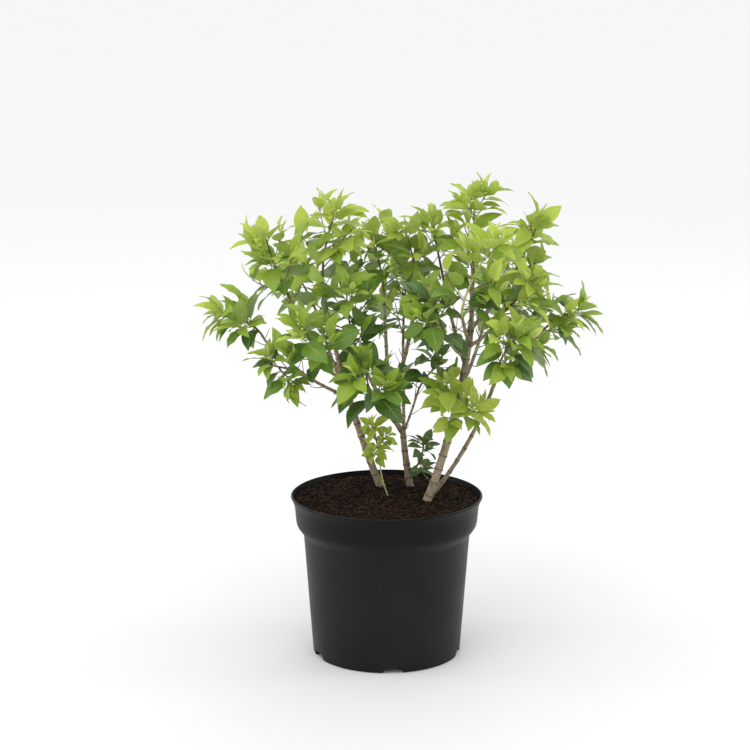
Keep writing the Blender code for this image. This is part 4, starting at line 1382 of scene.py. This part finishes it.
blade, blade_faces = blade_template()
print("blade corners", len(blade), "faces", len(blade_faces))


# %% Leaf meshes
def shaped_blades(leaves, chance):
    """The corners of every leaf's blade, as (leaf, corner, xyz)."""
    along, sideways = blade[None, :, 0], blade[None, :, 1]
    habit = np.array([HABITS[leaf.habit] for leaf in leaves])
    many = len(leaves)
    width = habit[:, 0:1] * chance.uniform(0.86, 1.12, (many, 1))
    fold = habit[:, 1:2] * chance.uniform(0.3, 1.5, (many, 1))
    bow = habit[:, 2:3] * chance.uniform(0.2, 1.6, (many, 1))
    drop = habit[:, 3:4] * chance.uniform(0.2, 1.8, (many, 1))
    sweep = chance.uniform(-0.08, 0.08, (many, 1))
    ruffle = chance.uniform(0.0, 0.022, (many, 1))
    phase = chance.uniform(0, math.tau, (many, 1))
    roll = chance.uniform(-0.35, 0.35, (many, 1))
    x = STALK_SHARE + (1 - STALK_SHARE) * along
    y = sideways * half_width(np.clip(along, 0.0, 1.0)) * width / 2
    quilt = 0.006 * np.cos(math.tau * (along * LEAF_ROWS / 2)) * (1 - np.abs(sideways)) * np.abs(sideways) * 4
    z = np.abs(y) * fold + bow * 4 * along * (1 - along) - drop * along**3 + quilt
    z = z + ruffle * np.sin(along * 16 + phase + sideways * 2) * np.abs(sideways)
    y = y + sweep * along**2
    turn = roll * along
    y, z = y * np.cos(turn) - z * np.sin(turn), y * np.sin(turn) + z * np.cos(turn)
    way = np.array([leaf.way for leaf in leaves])[:, None, :]
    face = np.array([leaf.face for leaf in leaves])[:, None, :]
    base = np.array([leaf.base for leaf in leaves])[:, None, :]
    length = np.array([leaf.length for leaf in leaves])[:, None, None]
    side = np.cross(face, way)
    return base + (way * x[..., None] + side * y[..., None] + face * z[..., None]) * length


def tone_of(leaf, chance):
    """Which green a leaf has: paler at the young tips, painted lighter outside the crown and at its top, and painted
    darker and bluer as shade inside and below.
    """
    away = leaf.base - CROWN_MIDDLE
    shown = math.sqrt(sum((a / r) ** 2 for a, r in zip(away, CROWN_REACH)))
    # The leaf's order gives its age; the depth and height terms are painted shade inside and below, and the last term
    # is painted light on top.
    age_and_shade_score = leaf.order * 0.55 + (1 - shown) * 2.2 - 1.1 * away.z / CROWN_REACH.z + chance.uniform(-0.5, 0.5)
    age_and_shade_score -= LOW_SHOOTS_PALER * leaf.low + TOPS_PAINTED_LIGHTER * max(0, leaf.base.z - TOPS_FROM)
    if leaf.cool or (age_and_shade_score > 1.6 and chance.random() < BLUISH_SHARE):
        return "bluish"
    if leaf.habit == "whorl":
        return "whorl" if age_and_shade_score < 1.0 else "young"
    for tone, limit in (("young", 0.35), ("fresh", 1.5), ("mature", 2.6)):
        if age_and_shade_score < limit:
            return tone
    return "shaded"


all_leaves = [leaf for mass in masses for leaf in mass.leaves]
tone_chance = random.Random(5)
by_tone = {tone: [] for tone in LEAF_TONES}
for leaf in all_leaves:
    by_tone[tone_of(leaf, tone_chance)].append(leaf)
blade_uv = np.column_stack([np.clip(blade[:, 0], 0, 1), (np.clip(blade[:, 1], -1, 1) + 1) / 2])
shape_chance = np.random.default_rng(3)
for tone, leaves in by_tone.items():
    mesh = joined_mesh(f"leaves_{tone}", shaped_blades(leaves, shape_chance), blade_faces, blade_uv)
    mesh.shade_smooth()
    piece_from_mesh(f"leaves_{tone}", mesh, leaf_finishes[tone], "foliage", foliage_nodes)
print("tones", {tone: len(leaves) for tone, leaves in by_tone.items()})


# %% Leaf stalks
def stalk(leaf):
    """The short stalk between a twig and the blade."""
    end = leaf.base + leaf.way * leaf.length * (STALK_SHARE + 0.02)
    return Limb(Curve(leaf.base, (leaf.base + end) / 2 - leaf.face * leaf.length * 0.01, end), 0.8 * MM, 0.5 * MM, 1, 3)


rods("leaf_stalks", [stalk(leaf) for leaf in all_leaves], 4, 1, green_shoot, foliage_nodes)
